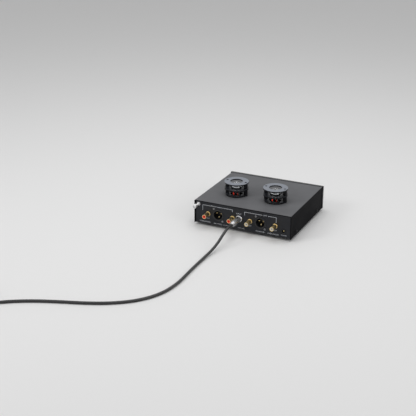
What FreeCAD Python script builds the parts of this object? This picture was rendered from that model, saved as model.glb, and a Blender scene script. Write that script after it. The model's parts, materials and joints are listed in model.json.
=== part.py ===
import FreeCAD, Part
import math
import os
from FreeCAD import Vector

# Tube phono preamplifier: a low sheet-metal case with two ring-guarded tubes on top,
# all sockets on the rear panel, and a loading dial and buttons on the front.
# Millimetres. +Z is up, the front panel faces -Y and the rear panel faces +Y.
# The origin is on the resting surface, in the middle of the object's own box.

# Case
case_width = 206.0
case_depth = 176.0
case_height = 48.0
cover_wall = 1.5
cover_bend = 2.2
tray_wall = 1.2
tray_lip = 11.0
sheet_gap = 0.2
rear_wall = 1.5
rear_inset = 2.0
rear_foot = 9.0
front_wall = 6.0
front_lip = 1.0
front_groove = 1.0
front_chamfer = 0.7

# Feet
foot_height = 4.8
foot_radius = 8.0
foot_taper = 0.8
foot_inset_x = 20.0
foot_inset_y = 22.0
foot_recess_radius = 3.6
foot_recess_depth = 2.6

# Screws
screw_radius = 1.5
screw_head_radius = 2.8
screw_head_height = 1.6
screw_length = 6.0
screw_fit = 0.1
hex_key_across = 2.0
cover_screw_inset = 30.0
panel_screw_inset = 36.0

# Main circuit board
board_side_gap = 6.3
board_end_gap = 12.15
board_wall = 1.6
board_lift = 6.0
board_hole_inset = 5.0
standoff_radius = 3.0

# Tubes
tube_from_rear = 64.0
tube_spacing = 84.0
tube_shift = -2.0
glass_radius = 11.1
glass_height = 49.0
glass_wall = 1.0
glass_base = 3.0
dome_radius = 7.5
tip_radius = 2.2
tip_height = 3.0
tube_top_below_guard = 1.2
pin_circle_radius = 5.95
pin_positions = 10
pin_count = 9
pin_radius = 0.5
pin_length = 6.6
mica_radius = 9.4
mica_wall = 0.5
mica_low = 10.0
plate_width = 7.6
plate_depth = 10.5
plate_height = 19.0
plate_gap = 1.2
support_radius = 0.6
getter_wall = 0.25
getter_gap = 0.05
getter_depth = 13.0

# Tube sockets
socket_radius = 10.5
socket_waist_radius = 9.0
socket_flange = 4.0
socket_hole_radius = 0.9
socket_hole_depth = 8.0
socket_centre_radius = 2.5

# Tube guards
guard_radius = 24.6
guard_hole_radius = 12.7
guard_height = 28.0
guard_ring = 2.4
guard_middle_height = 12.8
guard_base_radius = 21.6
guard_base_wall = 2.4
post_radius = 4.0
post_offset = 20.0
guard_screw_radius = 2.3
guard_screw_sink = 0.9
guard_screw_length = 6.0
cover_hole_radius = 13.5

# Rear sockets
right_inner_jack_gap = 14.2
left_inner_jack_gap = 23.0
right_outer_jack_inset = 29.3
left_outer_jack_inset = 33.5
jack_height = 27.0
jack_radius = 4.15
jack_bore_radius = 3.35
jack_reach = 18.2
jack_thread_radius = 4.6
jack_thread_length = 9.0
jack_flange_radius = 4.9
jack_flange = 1.2
jack_insert_sink = 0.5
jack_centre_radius = 1.65
jack_contact_wall = 0.3
jack_contact_sink = 2.0
balanced_shift = 0.083
balanced_height = 27.6
balanced_radius = 11.6
balanced_bore_radius = 9.4
balanced_depth = 16.0
balanced_floor = 3.0
balanced_proud = 0.9
balanced_flange_width = 26.0
balanced_flange_height = 31.0
balanced_flange = 2.0
balanced_screw_x = 9.5
balanced_screw_z = 12.0
balanced_pin_radius = 1.2
balanced_pin_circle = 5.2
balanced_pin_length = 12.5
input_x = 6.5
input_height = 28.5
input_flange_radius = 6.9
input_flange = 2.6
input_bore_radius = 4.7
input_depth = 11.0
input_body_radius = 6.2
power_inset = 16.0
power_height = 19.2
power_radius = 4.3
power_bore_radius = 3.2
power_depth = 10.0
power_floor = 2.0
power_proud = 1.2
power_pin_radius = 1.0
power_body = 4.0

# Ground terminal
ground_inset = 9.5
ground_drop = 5.1
ground_post_radius = 2.0
ground_post_inside = 7.0
ground_nut_radius = 3.9
ground_nut_length = 7.0
ground_nut_chamfer = 0.6
ground_washer_radius = 3.7
ground_washer = 0.8
ground_reach = 20.0
locknut_across = 7.0
locknut_length = 2.4
thread_fit = 0.05

# Front controls
control_height = 28.8
power_button_inset = 17.0
power_button_radius = 5.0
power_button_proud = 2.6
power_button_travel = 2.0
option_button_gap = 28.0
option_button_pitch = 21.0
option_button_radius = 3.2
option_button_proud = 2.0
option_button_travel = 1.0
option_names = ("input", "gain", "capacitance", "filter")
button_fit = 0.15
button_rim = 0.9
button_flange = 1.2
switch_size = 6.0
switch_depth = 3.5
switch_gap = 0.2
switch_from_sheet = 4.0
control_board_wall = 1.6
control_board_height = 30.0
control_board_margin = 8.0
light_radius = 0.9
light_lift = 8.0
light_spread = 4.5
light_proud = 0.3
dial_inset = 41.0
dial_radius = 12.5
dial_length = 13.0
dial_gap = 0.8
dial_chamfer = 0.8
dial_skirt_radius = 13.5
dial_skirt = 2.0
dial_hollow_radius = 7.5
dial_hollow_depth = 4.0
dial_mark_width = 1.0
dial_mark_depth = 0.5
dial_mark_start = 5.0
shaft_radius = 3.0
shaft_fit = 0.05
shaft_in_dial = 9.0
bushing_radius = 3.5
bushing_fit = 0.15
bushing_proud = 2.6
bushing_nut_across = 10.0
bushing_nut_length = 2.0
pot_radius = 8.5
pot_length = 10.0
pot_gap = 1.0

# Parts on the main board
capacitor_radius = 6.3
capacitor_height = 20.0
capacitor_pitch = 15.0
relay_width = 8.0
relay_depth = 15.0
relay_height = 10.0
relay_pitch = 11.0

# Signal lead: plug, cord, coil and far plug
plug_radius = 5.5
plug_nose_radius = 4.55
plug_nose_length = 9.0
plug_length = 34.0
plug_neck_radius = 4.0
plug_neck_length = 7.0
plug_groove = 0.4
plug_groove_width = 1.2
boot_radius = 3.9
boot_end_radius = 3.1
boot_length = 9.0
latch_width = 3.6
latch_length = 7.0
latch_proud = 1.1
latch_sink = 1.6
latch_travel = 0.8
latch_from_nose = 3.0
latch_fit = 0.2
cord_diameter = 5.4
coil_inner_radius = 26.0
coil_gap = 0.6
coil_low_turns = 1.5
coil_high_turns = 1.75
coil_steps = 4
route_bend = 0.45

# The lead's route to the coil: aside of the boot's end, behind it, and lift off the floor
cord_run = [
    (1.0, 28.8, 19.3),
    (2.5, 44.8, 11.1),
    (4.5, 64.3, 4.5),
    (6.5, 89.3, 1.1),
    (7.0, 120.9, 0.0),
    (5.5, 162.9, 0.0),
    (2.5, 207.9, 0.0),
    (8.5, 254.9, 0.0),
    (31.5, 294.9, 0.0),
    (67.5, 323.9, 0.0),
    (110.5, 343.9, 0.0),
    (155.5, 358.9, 0.0),
    (199.5, 376.9, 0.0),
    (239.5, 400.9, 0.0),
    (272.5, 432.4, 0.0),
]
cord_straight = 13.5

# The lead's last stretch off the coil: along it, to its right, and share of the way down
tail_run = [
    (0.0, 0.0, 0.0),
    (13.0, 0.0, 0.0),
    (29.0, 1.0, 0.4),
    (46.0, 3.5, 1.0),
    (58.0, 6.0, 1.0),
]

# Derived places
front_reach = dial_gap + dial_length
total_depth = case_depth + front_groove + front_wall
front_y = front_reach - (total_depth + front_reach + ground_reach) / 2
rear_y = front_y + total_depth
cover_front_y = rear_y - case_depth
case_top = foot_height + case_height
half_width = case_width / 2
inner_half_width = half_width - cover_wall - sheet_gap
inner_top = case_top - cover_wall - sheet_gap
tray_top = foot_height + tray_wall
panel_y = rear_y - rear_inset
panel_inner_y = panel_y - rear_wall
sheet_y = front_y + front_wall
sheet_inner_y = sheet_y + tray_wall
board_bottom = tray_top + board_lift
board_top = board_bottom + board_wall
board_half_width = inner_half_width - board_side_gap
board_front_y = sheet_inner_y + board_end_gap
board_rear_y = panel_inner_y - board_end_gap
tube_y = rear_y - tube_from_rear
guard_top = case_top + guard_height
glass_top = guard_top - tube_top_below_guard
glass_bottom = glass_top - glass_height
cord_radius = cord_diameter / 2
coil_pitch = cord_diameter + coil_gap
sides = {"left": -1, "right": 1}
inner_jack_gaps = {"left": left_inner_jack_gap, "right": right_inner_jack_gap}
outer_jack_insets = {"left": left_outer_jack_inset, "right": right_outer_jack_inset}
power_x = power_inset - half_width
ground_x = half_width - ground_inset
ground_height = inner_top - ground_drop
power_button_x = power_button_inset - half_width
option_button_x = power_button_x + option_button_gap
dial_x = half_width - dial_inset
boot_end_y = panel_y + input_flange + sheet_gap / 2 + plug_length + boot_length

X = Vector(1, 0, 0)
Y = Vector(0, 1, 0)
Z = Vector(0, 0, 1)


def block(x0, x1, y0, y1, z0, z1):
    """A box between two corners."""
    return Part.makeBox(x1 - x0, y1 - y0, z1 - z0, Vector(x0, y0, z0))


def rod(radius, length, start, axis):
    """A round bar from start along axis."""
    return Part.makeCylinder(radius, length, start, axis)


def pipe(outer, inner, length, start, axis):
    """A round bar with a bore right through."""
    return rod(outer, length, start, axis).cut(rod(inner, length, start, axis))


def prism(across, length, start, axis):
    """A hexagonal bar, measured across its flats."""
    side = axis.cross(Z if abs(axis.z) < 0.5 else X).normalize()
    corner = across / math.sqrt(3)
    turn = [FreeCAD.Rotation(axis, 60 * i).multVec(side) * corner for i in range(7)]
    face = Part.Face(Part.makePolygon([start + p for p in turn]))
    return face.extrude(axis * length)


def turned(profile, middle):
    """A solid of revolution about +Z: profile holds (radius, height) corners."""
    points = [middle + Vector(r, 0, h) for r, h in profile]
    face = Part.Face(Part.makePolygon(points + points[:1]))
    return face.revolve(middle, Z, 360)


def turned_along(profile, start, axis):
    """A solid of revolution about axis: profile holds (radius, distance) corners."""
    solid = turned(profile, Vector())
    solid.Placement = FreeCAD.Placement(start, FreeCAD.Rotation(Z, axis))
    return solid


def joined(shapes):
    """One solid from shapes that touch or overlap."""
    return shapes[0].fuse(list(shapes[1:])).removeSplitter()


def save(name, *shapes):
    """Write one node, checked, with each piece a solid of its own."""
    solids = [s for shape in shapes for s in shape.Solids]
    for solid in solids:
        if not solid.isValid() or solid.Volume <= 0:
            raise ValueError(name + " holds a bad solid")
    whole = solids[0] if len(solids) == 1 else Part.makeCompound(solids)
    whole.exportStep("parts/" + name + ".step")
    return whole


def at_rear(x, z, out=0.0):
    """A point out from the rear panel's face."""
    return Vector(x, panel_y + out, z)


def at_front(x, behind=0.0, z=control_height):
    """A point behind the front panel's face."""
    return Vector(x, front_y + behind, z)


def foot_places():
    xs = (foot_inset_x - half_width, half_width - foot_inset_x)
    ys = (cover_front_y + foot_inset_y, rear_y - foot_inset_y)
    return [Vector(x, y, 0) for x in xs for y in ys]


def board_hole_places():
    x = board_half_width - board_hole_inset
    ys = (board_front_y + board_hole_inset, board_rear_y - board_hole_inset)
    return [Vector(side * x, y, 0) for side in (-1, 1) for y in ys]


def cover_screw_places():
    ys = (cover_front_y + cover_screw_inset, rear_y - cover_screw_inset)
    return [Vector(side, y, tray_top + tray_lip / 2) for side in (-1, 1) for y in ys]


def rear_screw_places():
    y = panel_inner_y - rear_foot / 2
    return [Vector(s * (half_width - panel_screw_inset), y, foot_height) for s in (-1, 1)]


def front_screw_places():
    x = half_width - panel_screw_inset / 3
    zs = (tray_top + tray_lip, inner_top - tray_lip / 2)
    return [Vector(s * x, sheet_inner_y, z) for s in (-1, 1) for z in zs]


def tube_places():
    xs = {name: tube_shift + side * tube_spacing / 2 for name, side in sides.items()}
    return {name: Vector(x, tube_y, 0) for name, x in xs.items()}


def jack_places(name):
    """The jack near the input socket and the one near the case's side."""
    side = sides[name]
    inner = input_x + side * inner_jack_gaps[name]
    outer = side * (half_width - outer_jack_insets[name])
    return [(inner, jack_height), (outer, jack_height)]


def balanced_place(name):
    """Between a channel's two jacks, shifted by a share of their distance."""
    (x0, z0), (x1, z1) = sorted(jack_places(name))
    return (x0 + x1) / 2 + balanced_shift * (x1 - x0), balanced_height


def button_places():
    """Every push button: name, x, radius, how far it stands out, and its travel."""
    rows = [("power", power_button_x, power_button_radius, power_button_proud,
             power_button_travel)]
    for i, name in enumerate(option_names):
        x = option_button_x + i * option_button_pitch
        rows.append((name, x, option_button_radius, option_button_proud, option_button_travel))
    return rows


def light_places():
    """One light by the power button and two over each option button."""
    z = control_height + light_lift
    places = [(power_button_x, z)]
    for i in range(len(option_names)):
        x = option_button_x + i * option_button_pitch
        places += [(x - light_spread / 2, z), (x + light_spread / 2, z)]
    return places


def make_tray():
    """Folded bottom sheet: floor, two low side lips and the upright front sheet."""
    floor = block(-inner_half_width, inner_half_width, sheet_y, panel_y, foot_height, tray_top)
    front = block(-inner_half_width, inner_half_width, sheet_y, sheet_inner_y, foot_height,
                  inner_top)
    lips = []
    for side in (-1, 1):
        x0, x1 = sorted((side * inner_half_width, side * (inner_half_width - tray_wall)))
        lips.append(block(x0, x1, sheet_y, panel_inner_y - sheet_gap, foot_height,
                          tray_top + tray_lip))
    tray = joined([floor, front] + lips)
    holes = [rod(screw_radius + screw_fit, tray_wall * 3, p + Z * (foot_height - tray_wall), Z)
             for p in foot_places() + board_hole_places()]
    holes += [rod(screw_radius + screw_fit, tray_wall * 3, p - Z * tray_wall, Z)
              for p in rear_screw_places()]
    holes += [rod(screw_radius + screw_fit, tray_wall * 3, p - Y * tray_wall * 2, Y)
              for p in front_screw_places()]
    for p in cover_screw_places():
        start = Vector(p.x * (inner_half_width - tray_wall * 2), p.y, p.z)
        holes.append(rod(screw_radius + screw_fit, tray_wall * 3, start, X * p.x))
    depth = front_wall + tray_wall + 1
    for name, x, radius, proud, travel in button_places():
        holes.append(rod(radius + button_fit, depth, at_front(x), Y))
    holes.append(rod(bushing_radius + bushing_fit, depth, at_front(dial_x), Y))
    holes += [rod(light_radius + button_fit, depth, at_front(x, z=z), Y)
              for x, z in light_places()]
    return tray.cut(holes)


def make_cover():
    """Folded top sheet with two side walls, rounded along its two bends."""
    z1 = case_top
    outer = block(-half_width, half_width, cover_front_y, rear_y, foot_height, z1)
    bends = [e for e in outer.Edges if abs(e.CenterOfMass.z - z1) < 1e-6
             and abs(abs(e.CenterOfMass.x) - half_width) < 1e-6]
    outer = outer.makeFillet(cover_bend, bends)
    half_inside = half_width - cover_wall
    inner = block(-half_inside, half_inside, cover_front_y, rear_y, foot_height, z1 - cover_wall)
    bends = [e for e in inner.Edges if abs(e.CenterOfMass.z - z1 + cover_wall) < 1e-6
             and abs(abs(e.CenterOfMass.x) - half_inside) < 1e-6]
    inner = inner.makeFillet(cover_bend - cover_wall, bends)
    holes = [inner]
    for p in tube_places().values():
        holes.append(rod(cover_hole_radius, cover_wall * 3, p + Z * (z1 - cover_wall * 2), Z))
        for side in (-1, 1):
            start = p + X * side * post_offset + Z * (z1 - cover_wall * 2)
            holes.append(rod(screw_radius + screw_fit, cover_wall * 3, start, Z))
    for p in cover_screw_places():
        start = Vector(p.x * (half_width - cover_wall * 2), p.y, p.z)
        holes.append(rod(screw_radius + screw_fit, cover_wall * 3, start, X * p.x))
    return outer.cut(holes)


def make_front_panel():
    """Thick front plate with bevelled edges and the holes for its controls."""
    half = half_width + front_lip
    plate = block(-half, half, front_y, sheet_y, foot_height, case_top + front_lip / 2)
    plate = plate.makeChamfer(front_chamfer, [e for e in plate.Edges
                                              if abs(e.CenterOfMass.y - front_y) < 1e-6])
    holes = [rod(radius + button_fit, front_wall, at_front(x), Y)
             for name, x, radius, proud, travel in button_places()]
    holes.append(rod(bushing_radius + bushing_fit, front_wall, at_front(dial_x), Y))
    holes += [rod(light_radius + button_fit, front_wall, at_front(x, z=z), Y)
              for x, z in light_places()]
    holes += [rod(screw_radius, screw_length, Vector(p.x, sheet_inner_y, p.z), -Y)
              for p in front_screw_places()]
    return plate.cut(holes)


def make_rear_panel():
    """Upright sheet with a foot folded inwards, cut for every socket."""
    z0 = tray_top + sheet_gap / 10
    half = inner_half_width
    sheet = block(-half, half, panel_inner_y, panel_y, z0, inner_top)
    foot = block(-half + rear_foot, half - rear_foot, panel_inner_y - rear_foot, panel_y, z0,
                 z0 + rear_wall)
    holes = []
    deep = rear_wall * 3

    def hole(x, z, radius):
        holes.append(rod(radius, deep, at_rear(x, z, -rear_wall * 2), Y))

    for name in sides:
        for x, z in jack_places(name):
            hole(x, z, jack_thread_radius + screw_fit)
        x, z = balanced_place(name)
        hole(x, z, balanced_radius + screw_fit)
        for side in (-1, 1):
            hole(x + side * balanced_screw_x, z + side * balanced_screw_z,
                 screw_radius + screw_fit)
    hole(input_x, input_height, input_body_radius + screw_fit)
    hole(power_x, power_height, power_radius + screw_fit)
    hole(ground_x, ground_height, ground_post_radius + screw_fit)
    holes += [rod(screw_radius, deep, p + Z * tray_wall, Z) for p in rear_screw_places()]
    return joined([sheet, foot]).cut(holes)


def make_feet():
    """Four tapered rubber feet, each hollow below for its screw."""
    low = foot_radius - foot_taper
    profile = [(screw_radius + screw_fit, foot_recess_depth), (foot_recess_radius, foot_recess_depth),
               (foot_recess_radius, 0), (low, 0), (foot_radius, foot_taper * 2),
               (foot_radius, foot_height), (screw_radius + screw_fit, foot_height)]
    return [turned(profile, p) for p in foot_places()]


def make_screw(place, axis, length=screw_length):
    """Button-head screw: the head's seat is at place and its shank runs along axis."""
    head = turned_along([(0, 0), (screw_head_radius, 0), (screw_head_radius, -screw_head_height / 2),
                         (screw_head_radius * 0.7, -screw_head_height), (0, -screw_head_height)],
                        place, axis)
    return joined([head, rod(screw_radius, length, place, axis)])


def make_case_screws():
    """The screws that hold feet, board, rear panel, front plate and cover."""
    screws = [make_screw(p + Z * foot_recess_depth, Z, foot_height) for p in foot_places()]
    screws += [make_screw(p + Z * board_top, -Z, board_wall + board_lift / 2)
               for p in board_hole_places()]
    screws += [make_screw(p, Z, tray_wall + rear_wall) for p in rear_screw_places()]
    screws += [make_screw(p, -Y) for p in front_screw_places()]
    for p in cover_screw_places():
        seat = Vector(p.x * half_width, p.y, p.z)
        screws.append(make_screw(seat, X * -p.x, cover_wall + sheet_gap + tray_wall))
    for name in sides:
        x, z = balanced_place(name)
        for side in (-1, 1):
            seat = at_rear(x + side * balanced_screw_x, z + side * balanced_screw_z)
            screws.append(make_screw(seat, -Y, rear_wall + balanced_flange))
    return screws


def make_standoffs():
    """Threaded pillars that carry the main board."""
    return [pipe(standoff_radius, screw_radius + screw_fit / 10, board_lift, p + Z * tray_top, Z)
            for p in board_hole_places()]


def make_board():
    """Main circuit board with its corner holes."""
    board = block(-board_half_width, board_half_width, board_front_y, board_rear_y,
                  board_bottom, board_top)
    return board.cut([rod(screw_radius + screw_fit, board_wall, p + Z * board_bottom, Z)
                      for p in board_hole_places()])


def pin_places(place, z):
    """Nine places on a ring of ten, the tenth left free as the key."""
    places = []
    for i in range(pin_count):
        angle = 2 * math.pi * (i + 1) / pin_positions
        spot = Vector(math.sin(angle), -math.cos(angle), 0) * pin_circle_radius
        places.append(place + spot + Z * z)
    return places


def make_tube_socket(place):
    """Ceramic socket: waisted body, one contact hole for each pin and a centre hole."""
    height = glass_bottom - board_top
    body = turned([(0, 0), (socket_waist_radius, 0), (socket_waist_radius, height - socket_flange),
                   (socket_radius, height - socket_flange), (socket_radius, height), (0, height)],
                  place + Z * board_top)
    low = glass_bottom - socket_hole_depth
    holes = [rod(socket_hole_radius, socket_hole_depth, p, Z) for p in pin_places(place, low)]
    holes.append(rod(socket_centre_radius, socket_hole_depth, place + Z * low, Z))
    return body.cut(holes)


def bulb(shrink, bottom):
    """A closed bulb, shrunk evenly from the glass: straight side, round shoulder, flat crown."""
    radius = glass_radius - shrink
    bend = dome_radius - shrink
    crown = glass_height - tip_height - shrink
    flat = radius - bend
    middle = bend * math.sqrt(0.5)
    corners = [Vector(radius, 0, bottom), Vector(radius, 0, crown - bend),
               Vector(flat, 0, crown), Vector(0, 0, crown), Vector(0, 0, bottom)]
    edges = [Part.LineSegment(corners[0], corners[1]),
             Part.Arc(corners[1], Vector(flat + middle, 0, crown - bend + middle), corners[2])]
    edges += [Part.LineSegment(a, b) for a, b in zip(corners[2:], corners[3:] + corners[:1])]
    return Part.Face(Part.Wire([edge.toShape() for edge in edges])).revolve(Vector(), Z, 360)


def make_glass(place):
    """Hollow glass bulb with a thick base and a drawn-off tip."""
    tip = turned([(0, -tip_height), (tip_radius, -tip_height), (tip_radius, 0),
                  (tip_radius * 0.45, tip_height * 0.7), (0, tip_height)],
                 Vector(0, 0, glass_height - tip_height))
    glass = joined([bulb(0, 0), tip]).cut(bulb(glass_wall, glass_base))
    glass.translate(place + Z * glass_bottom)
    return glass


def make_getter(place):
    """The mirror film that lines the bulb's dome."""
    outside = glass_wall + getter_gap
    low = glass_height - getter_depth
    film = bulb(outside, low).cut(bulb(outside + getter_wall, low - 1))
    film.translate(place + Z * glass_bottom)
    return film


def make_core(place):
    """Pins, support rods, two mica discs and the two anode boxes, joined as one frame."""
    foot = place + Z * glass_bottom
    pins = [rod(pin_radius, pin_length + mica_low, p, Z)
            for p in pin_places(place, glass_bottom - pin_length)]
    high = mica_low + mica_wall + plate_height
    micas = [rod(mica_radius, mica_wall, foot + Z * z, Z) for z in (mica_low, high)]
    reach = (plate_width + plate_gap) / 2
    plates = []
    for side in (-1, 1):
        middle = foot + X * side * reach
        plate = block(middle.x - plate_width / 2, middle.x + plate_width / 2,
                      middle.y - plate_depth / 2, middle.y + plate_depth / 2,
                      foot.z + mica_low + mica_wall, foot.z + high)
        upright = [e for e in plate.Edges if abs(e.tangentAt(e.FirstParameter).z) > 0.9]
        plates.append(plate.makeFillet(plate_width * 0.3, upright))
        for end in (-1, 1):
            start = middle + Y * end * plate_depth / 2 + Z * mica_low
            plates.append(rod(support_radius, plate_height + mica_wall * 2, start, Z))
    return joined(micas + pins + plates)


def make_guard(place):
    """Base ring, two posts, middle ring and top ring of one tube guard."""
    top = place + Z * case_top
    ends = [X * side * post_offset for side in (-1, 1)]
    base = pipe(guard_base_radius, guard_hole_radius, guard_base_wall, top, Z)
    ears = [rod(post_radius, guard_base_wall, top + end, Z) for end in ends]
    base = joined([base] + ears)
    base = base.cut([rod(screw_radius + screw_fit, guard_base_wall, top + end, Z) for end in ends])
    rings = []
    for height in (guard_middle_height, guard_height - guard_ring):
        ring = pipe(guard_radius, guard_hole_radius, guard_ring, top + Z * height, Z)
        rings.append(ring.cut([rod(guard_screw_radius, guard_ring, top + end + Z * height, Z)
                               for end in ends]))
    middle, upper = rings
    spans = ((guard_base_wall, guard_middle_height),
             (guard_middle_height + guard_ring, guard_height - guard_ring))
    posts = [pipe(post_radius, screw_radius + screw_fit, z1 - z0, top + end + Z * z0, Z)
             for end in ends for z0, z1 in spans]
    return base, posts, middle, upper


def make_guard_screws():
    """Long screws down the posts, their heads sunk in the top ring."""
    screws = []
    for place in tube_places().values():
        for side in (-1, 1):
            seat = place + X * side * post_offset + Z * (guard_top - guard_ring)
            head = guard_ring - guard_screw_sink
            cap = rod(guard_screw_radius - screw_fit, head, seat, Z)
            cap = cap.cut(prism(hex_key_across, head * 0.6, seat + Z * head, -Z))
            length = guard_height - guard_ring + guard_screw_length
            screws.append(joined([cap, rod(screw_radius, length, seat, -Z)]))
    return screws


def make_jack(x, z):
    """Gold phono jack: threaded rear, round flange and plain barrel."""
    back = panel_inner_y - jack_thread_length - panel_y
    profile = [(jack_bore_radius, back), (jack_thread_radius, back), (jack_thread_radius, 0),
               (jack_flange_radius, 0), (jack_flange_radius, jack_flange * 0.8),
               (jack_flange_radius - jack_flange * 0.2, jack_flange), (jack_radius, jack_flange),
               (jack_radius, jack_reach), (jack_bore_radius, jack_reach)]
    return turned_along(profile, at_rear(x, z), Y)


def make_jack_insert(x, z):
    """Coloured insulator inside a jack, with the hole for the plug's centre pin."""
    back = panel_inner_y - jack_thread_length - panel_y
    start = at_rear(x, z, back)
    length = jack_reach - jack_insert_sink - back
    return pipe(jack_bore_radius, jack_centre_radius, length, start, Y)


def make_jack_contact(x, z):
    """Centre contact tube, set back inside the insulator."""
    back = panel_inner_y - jack_thread_length - panel_y
    length = jack_reach - jack_insert_sink - jack_contact_sink - back
    inner = jack_centre_radius - jack_contact_wall
    return pipe(jack_centre_radius, inner, length, at_rear(x, z, back), Y)


def make_balanced(name):
    """Three-pin balanced output: round open cup with a square flange behind the panel."""
    x, z = balanced_place(name)
    back = -(balanced_depth + balanced_floor)
    cup = rod(balanced_radius, balanced_proud - back, at_rear(x, z, back), Y)
    flange = block(x - balanced_flange_width / 2, x + balanced_flange_width / 2,
                   panel_inner_y - balanced_flange, panel_inner_y,
                   z - balanced_flange_height / 2, z + balanced_flange_height / 2)
    bore = rod(balanced_bore_radius, balanced_depth + balanced_proud,
               at_rear(x, z, -balanced_depth), Y)
    holes = [rod(screw_radius, balanced_flange,
                 Vector(x + side * balanced_screw_x, panel_inner_y - balanced_flange,
                        z + side * balanced_screw_z), Y) for side in (-1, 1)]
    return joined([cup, flange]).cut([bore] + holes)


def make_balanced_pins(name):
    """Three round-nosed pins standing on the cup's floor."""
    x, z = balanced_place(name)
    pins = []
    for i in range(3):
        angle = math.radians(30 + 120 * i)
        px = x + balanced_pin_circle * math.cos(angle)
        pz = z + balanced_pin_circle * math.sin(angle)
        nose = balanced_pin_radius / 2
        profile = [(0, 0), (balanced_pin_radius, 0),
                   (balanced_pin_radius, balanced_pin_length - nose),
                   (nose, balanced_pin_length), (0, balanced_pin_length)]
        pins.append(turned_along(profile, at_rear(px, pz, -balanced_depth), Y))
    return pins


def make_input_socket():
    """Small round socket that takes the lead's plug."""
    profile = [(0, -input_depth - rear_wall), (input_body_radius, -input_depth - rear_wall),
               (input_body_radius, 0), (input_flange_radius, 0),
               (input_flange_radius, input_flange * 0.7), (input_body_radius, input_flange),
               (input_bore_radius, input_flange), (input_bore_radius, -input_depth + input_flange),
               (0, -input_depth + input_flange)]
    return turned_along(profile, at_rear(input_x, input_height), Y)


def make_power_jack():
    """Barrel power jack: round mouth and square body behind the panel, and its centre pin."""
    mouth = rod(power_radius, power_proud + rear_wall, at_rear(power_x, power_height, -rear_wall), Y)
    y1 = panel_inner_y
    y0 = y1 - power_depth - power_floor
    size = power_radius + power_body / 2
    body = block(power_x - size, power_x + size, y0, y1, power_height - size, power_height + size)
    bore = rod(power_bore_radius, power_depth + rear_wall + power_proud,
               Vector(power_x, y0 + power_floor, power_height), Y)
    pin = rod(power_pin_radius, power_depth, Vector(power_x, y0 + power_floor, power_height), Y)
    return joined([mouth, body]).cut(bore), pin


def make_ground_post():
    """Threaded stud through the rear panel."""
    length = ground_post_inside + rear_wall + rear_inset + ground_reach
    start = at_rear(ground_x, ground_height, -rear_wall - ground_post_inside)
    stud = rod(ground_post_radius, length - ground_nut_chamfer, start, Y)
    tip = Part.makeCone(ground_post_radius, ground_post_radius - ground_nut_chamfer,
                        ground_nut_chamfer, start + Y * (length - ground_nut_chamfer), Y)
    return joined([stud, tip])


def ground_nut_start():
    """Distance from the panel's face to the inner face of the thumb nut."""
    return rear_inset + ground_reach - ground_nut_length - ground_nut_chamfer


def make_thumb_nut():
    """Round thumb nut near the stud's end, bevelled at both ends."""
    r0 = ground_post_radius + thread_fit
    r1 = ground_nut_radius
    c = ground_nut_chamfer
    length = ground_nut_length
    profile = [(r0, 0), (r1 - c, 0), (r1, c), (r1, length - c), (r1 - c, length), (r0, length)]
    return turned_along(profile, at_rear(ground_x, ground_height, ground_nut_start()), Y)


def make_washer():
    """Loose washer that the thumb nut pushes before it."""
    start = at_rear(ground_x, ground_height, ground_nut_start() - ground_washer)
    return pipe(ground_washer_radius, ground_post_radius + thread_fit, ground_washer, start, Y)


def make_panel_nuts():
    """Hexagon nuts of the ground stud and of the dial's bushing."""
    ground = prism(locknut_across, locknut_length, at_rear(ground_x, ground_height), Y)
    ground = ground.cut(rod(ground_post_radius, locknut_length,
                            at_rear(ground_x, ground_height), Y))
    start = at_front(dial_x, -bushing_nut_length)
    dial = prism(bushing_nut_across, bushing_nut_length, start, Y)
    return [ground, dial.cut(rod(bushing_radius, bushing_nut_length, start, Y))]


def make_button(x, radius, proud, travel):
    """Round button with a rim behind the sheet and a stem towards its switch."""
    sheet = front_wall + tray_wall
    stem = switch_from_sheet - switch_gap - travel
    cap = rod(radius, proud + sheet + sheet_gap, at_front(x, -proud), Y)
    front = [e for e in cap.Edges if abs(e.CenterOfMass.y - front_y + proud) < 1e-6
             and len(e.Vertexes) == 1]
    cap = cap.makeFillet(button_rim * 0.6, front)
    rim = rod(radius + button_rim, button_flange, at_front(x, sheet + sheet_gap), Y)
    tail = rod(radius * 0.4, stem, at_front(x, sheet), Y)
    return joined([cap, rim, tail])


def make_control_board():
    """Board behind the front sheet with one switch for each button."""
    y0 = sheet_inner_y + switch_from_sheet
    rows = button_places()
    switches = [block(x - switch_size / 2, x + switch_size / 2, y0, y0 + switch_depth,
                      control_height - switch_size / 2, control_height + switch_size / 2)
                for name, x, radius, proud, travel in rows]
    y1 = y0 + switch_depth
    half = control_board_height / 2
    board = block(rows[0][1] - control_board_margin, rows[-1][1] + control_board_margin,
                  y1, y1 + control_board_wall, control_height - half, control_height + half)
    return joined([board] + switches)


def make_lights():
    """Clear light guides from the board to the front plate."""
    length = light_proud + front_wall + tray_wall + switch_from_sheet + switch_depth
    return [rod(light_radius, length, at_front(x, -light_proud, z), Y)
            for x, z in light_places()]


def make_potentiometer():
    """Potentiometer behind the sheet, with the bushing that its shaft turns in."""
    start = at_front(dial_x, front_wall + tray_wall)
    body = rod(pot_radius, pot_length, start, Y)
    bushing = rod(bushing_radius, bushing_proud + front_wall + tray_wall,
                  at_front(dial_x, -bushing_proud), Y)
    bore = rod(shaft_radius + shaft_fit, bushing_proud + front_wall + tray_wall + pot_length
               - pot_gap, at_front(dial_x, -bushing_proud), Y)
    return joined([body, bushing]).cut(bore)


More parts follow.
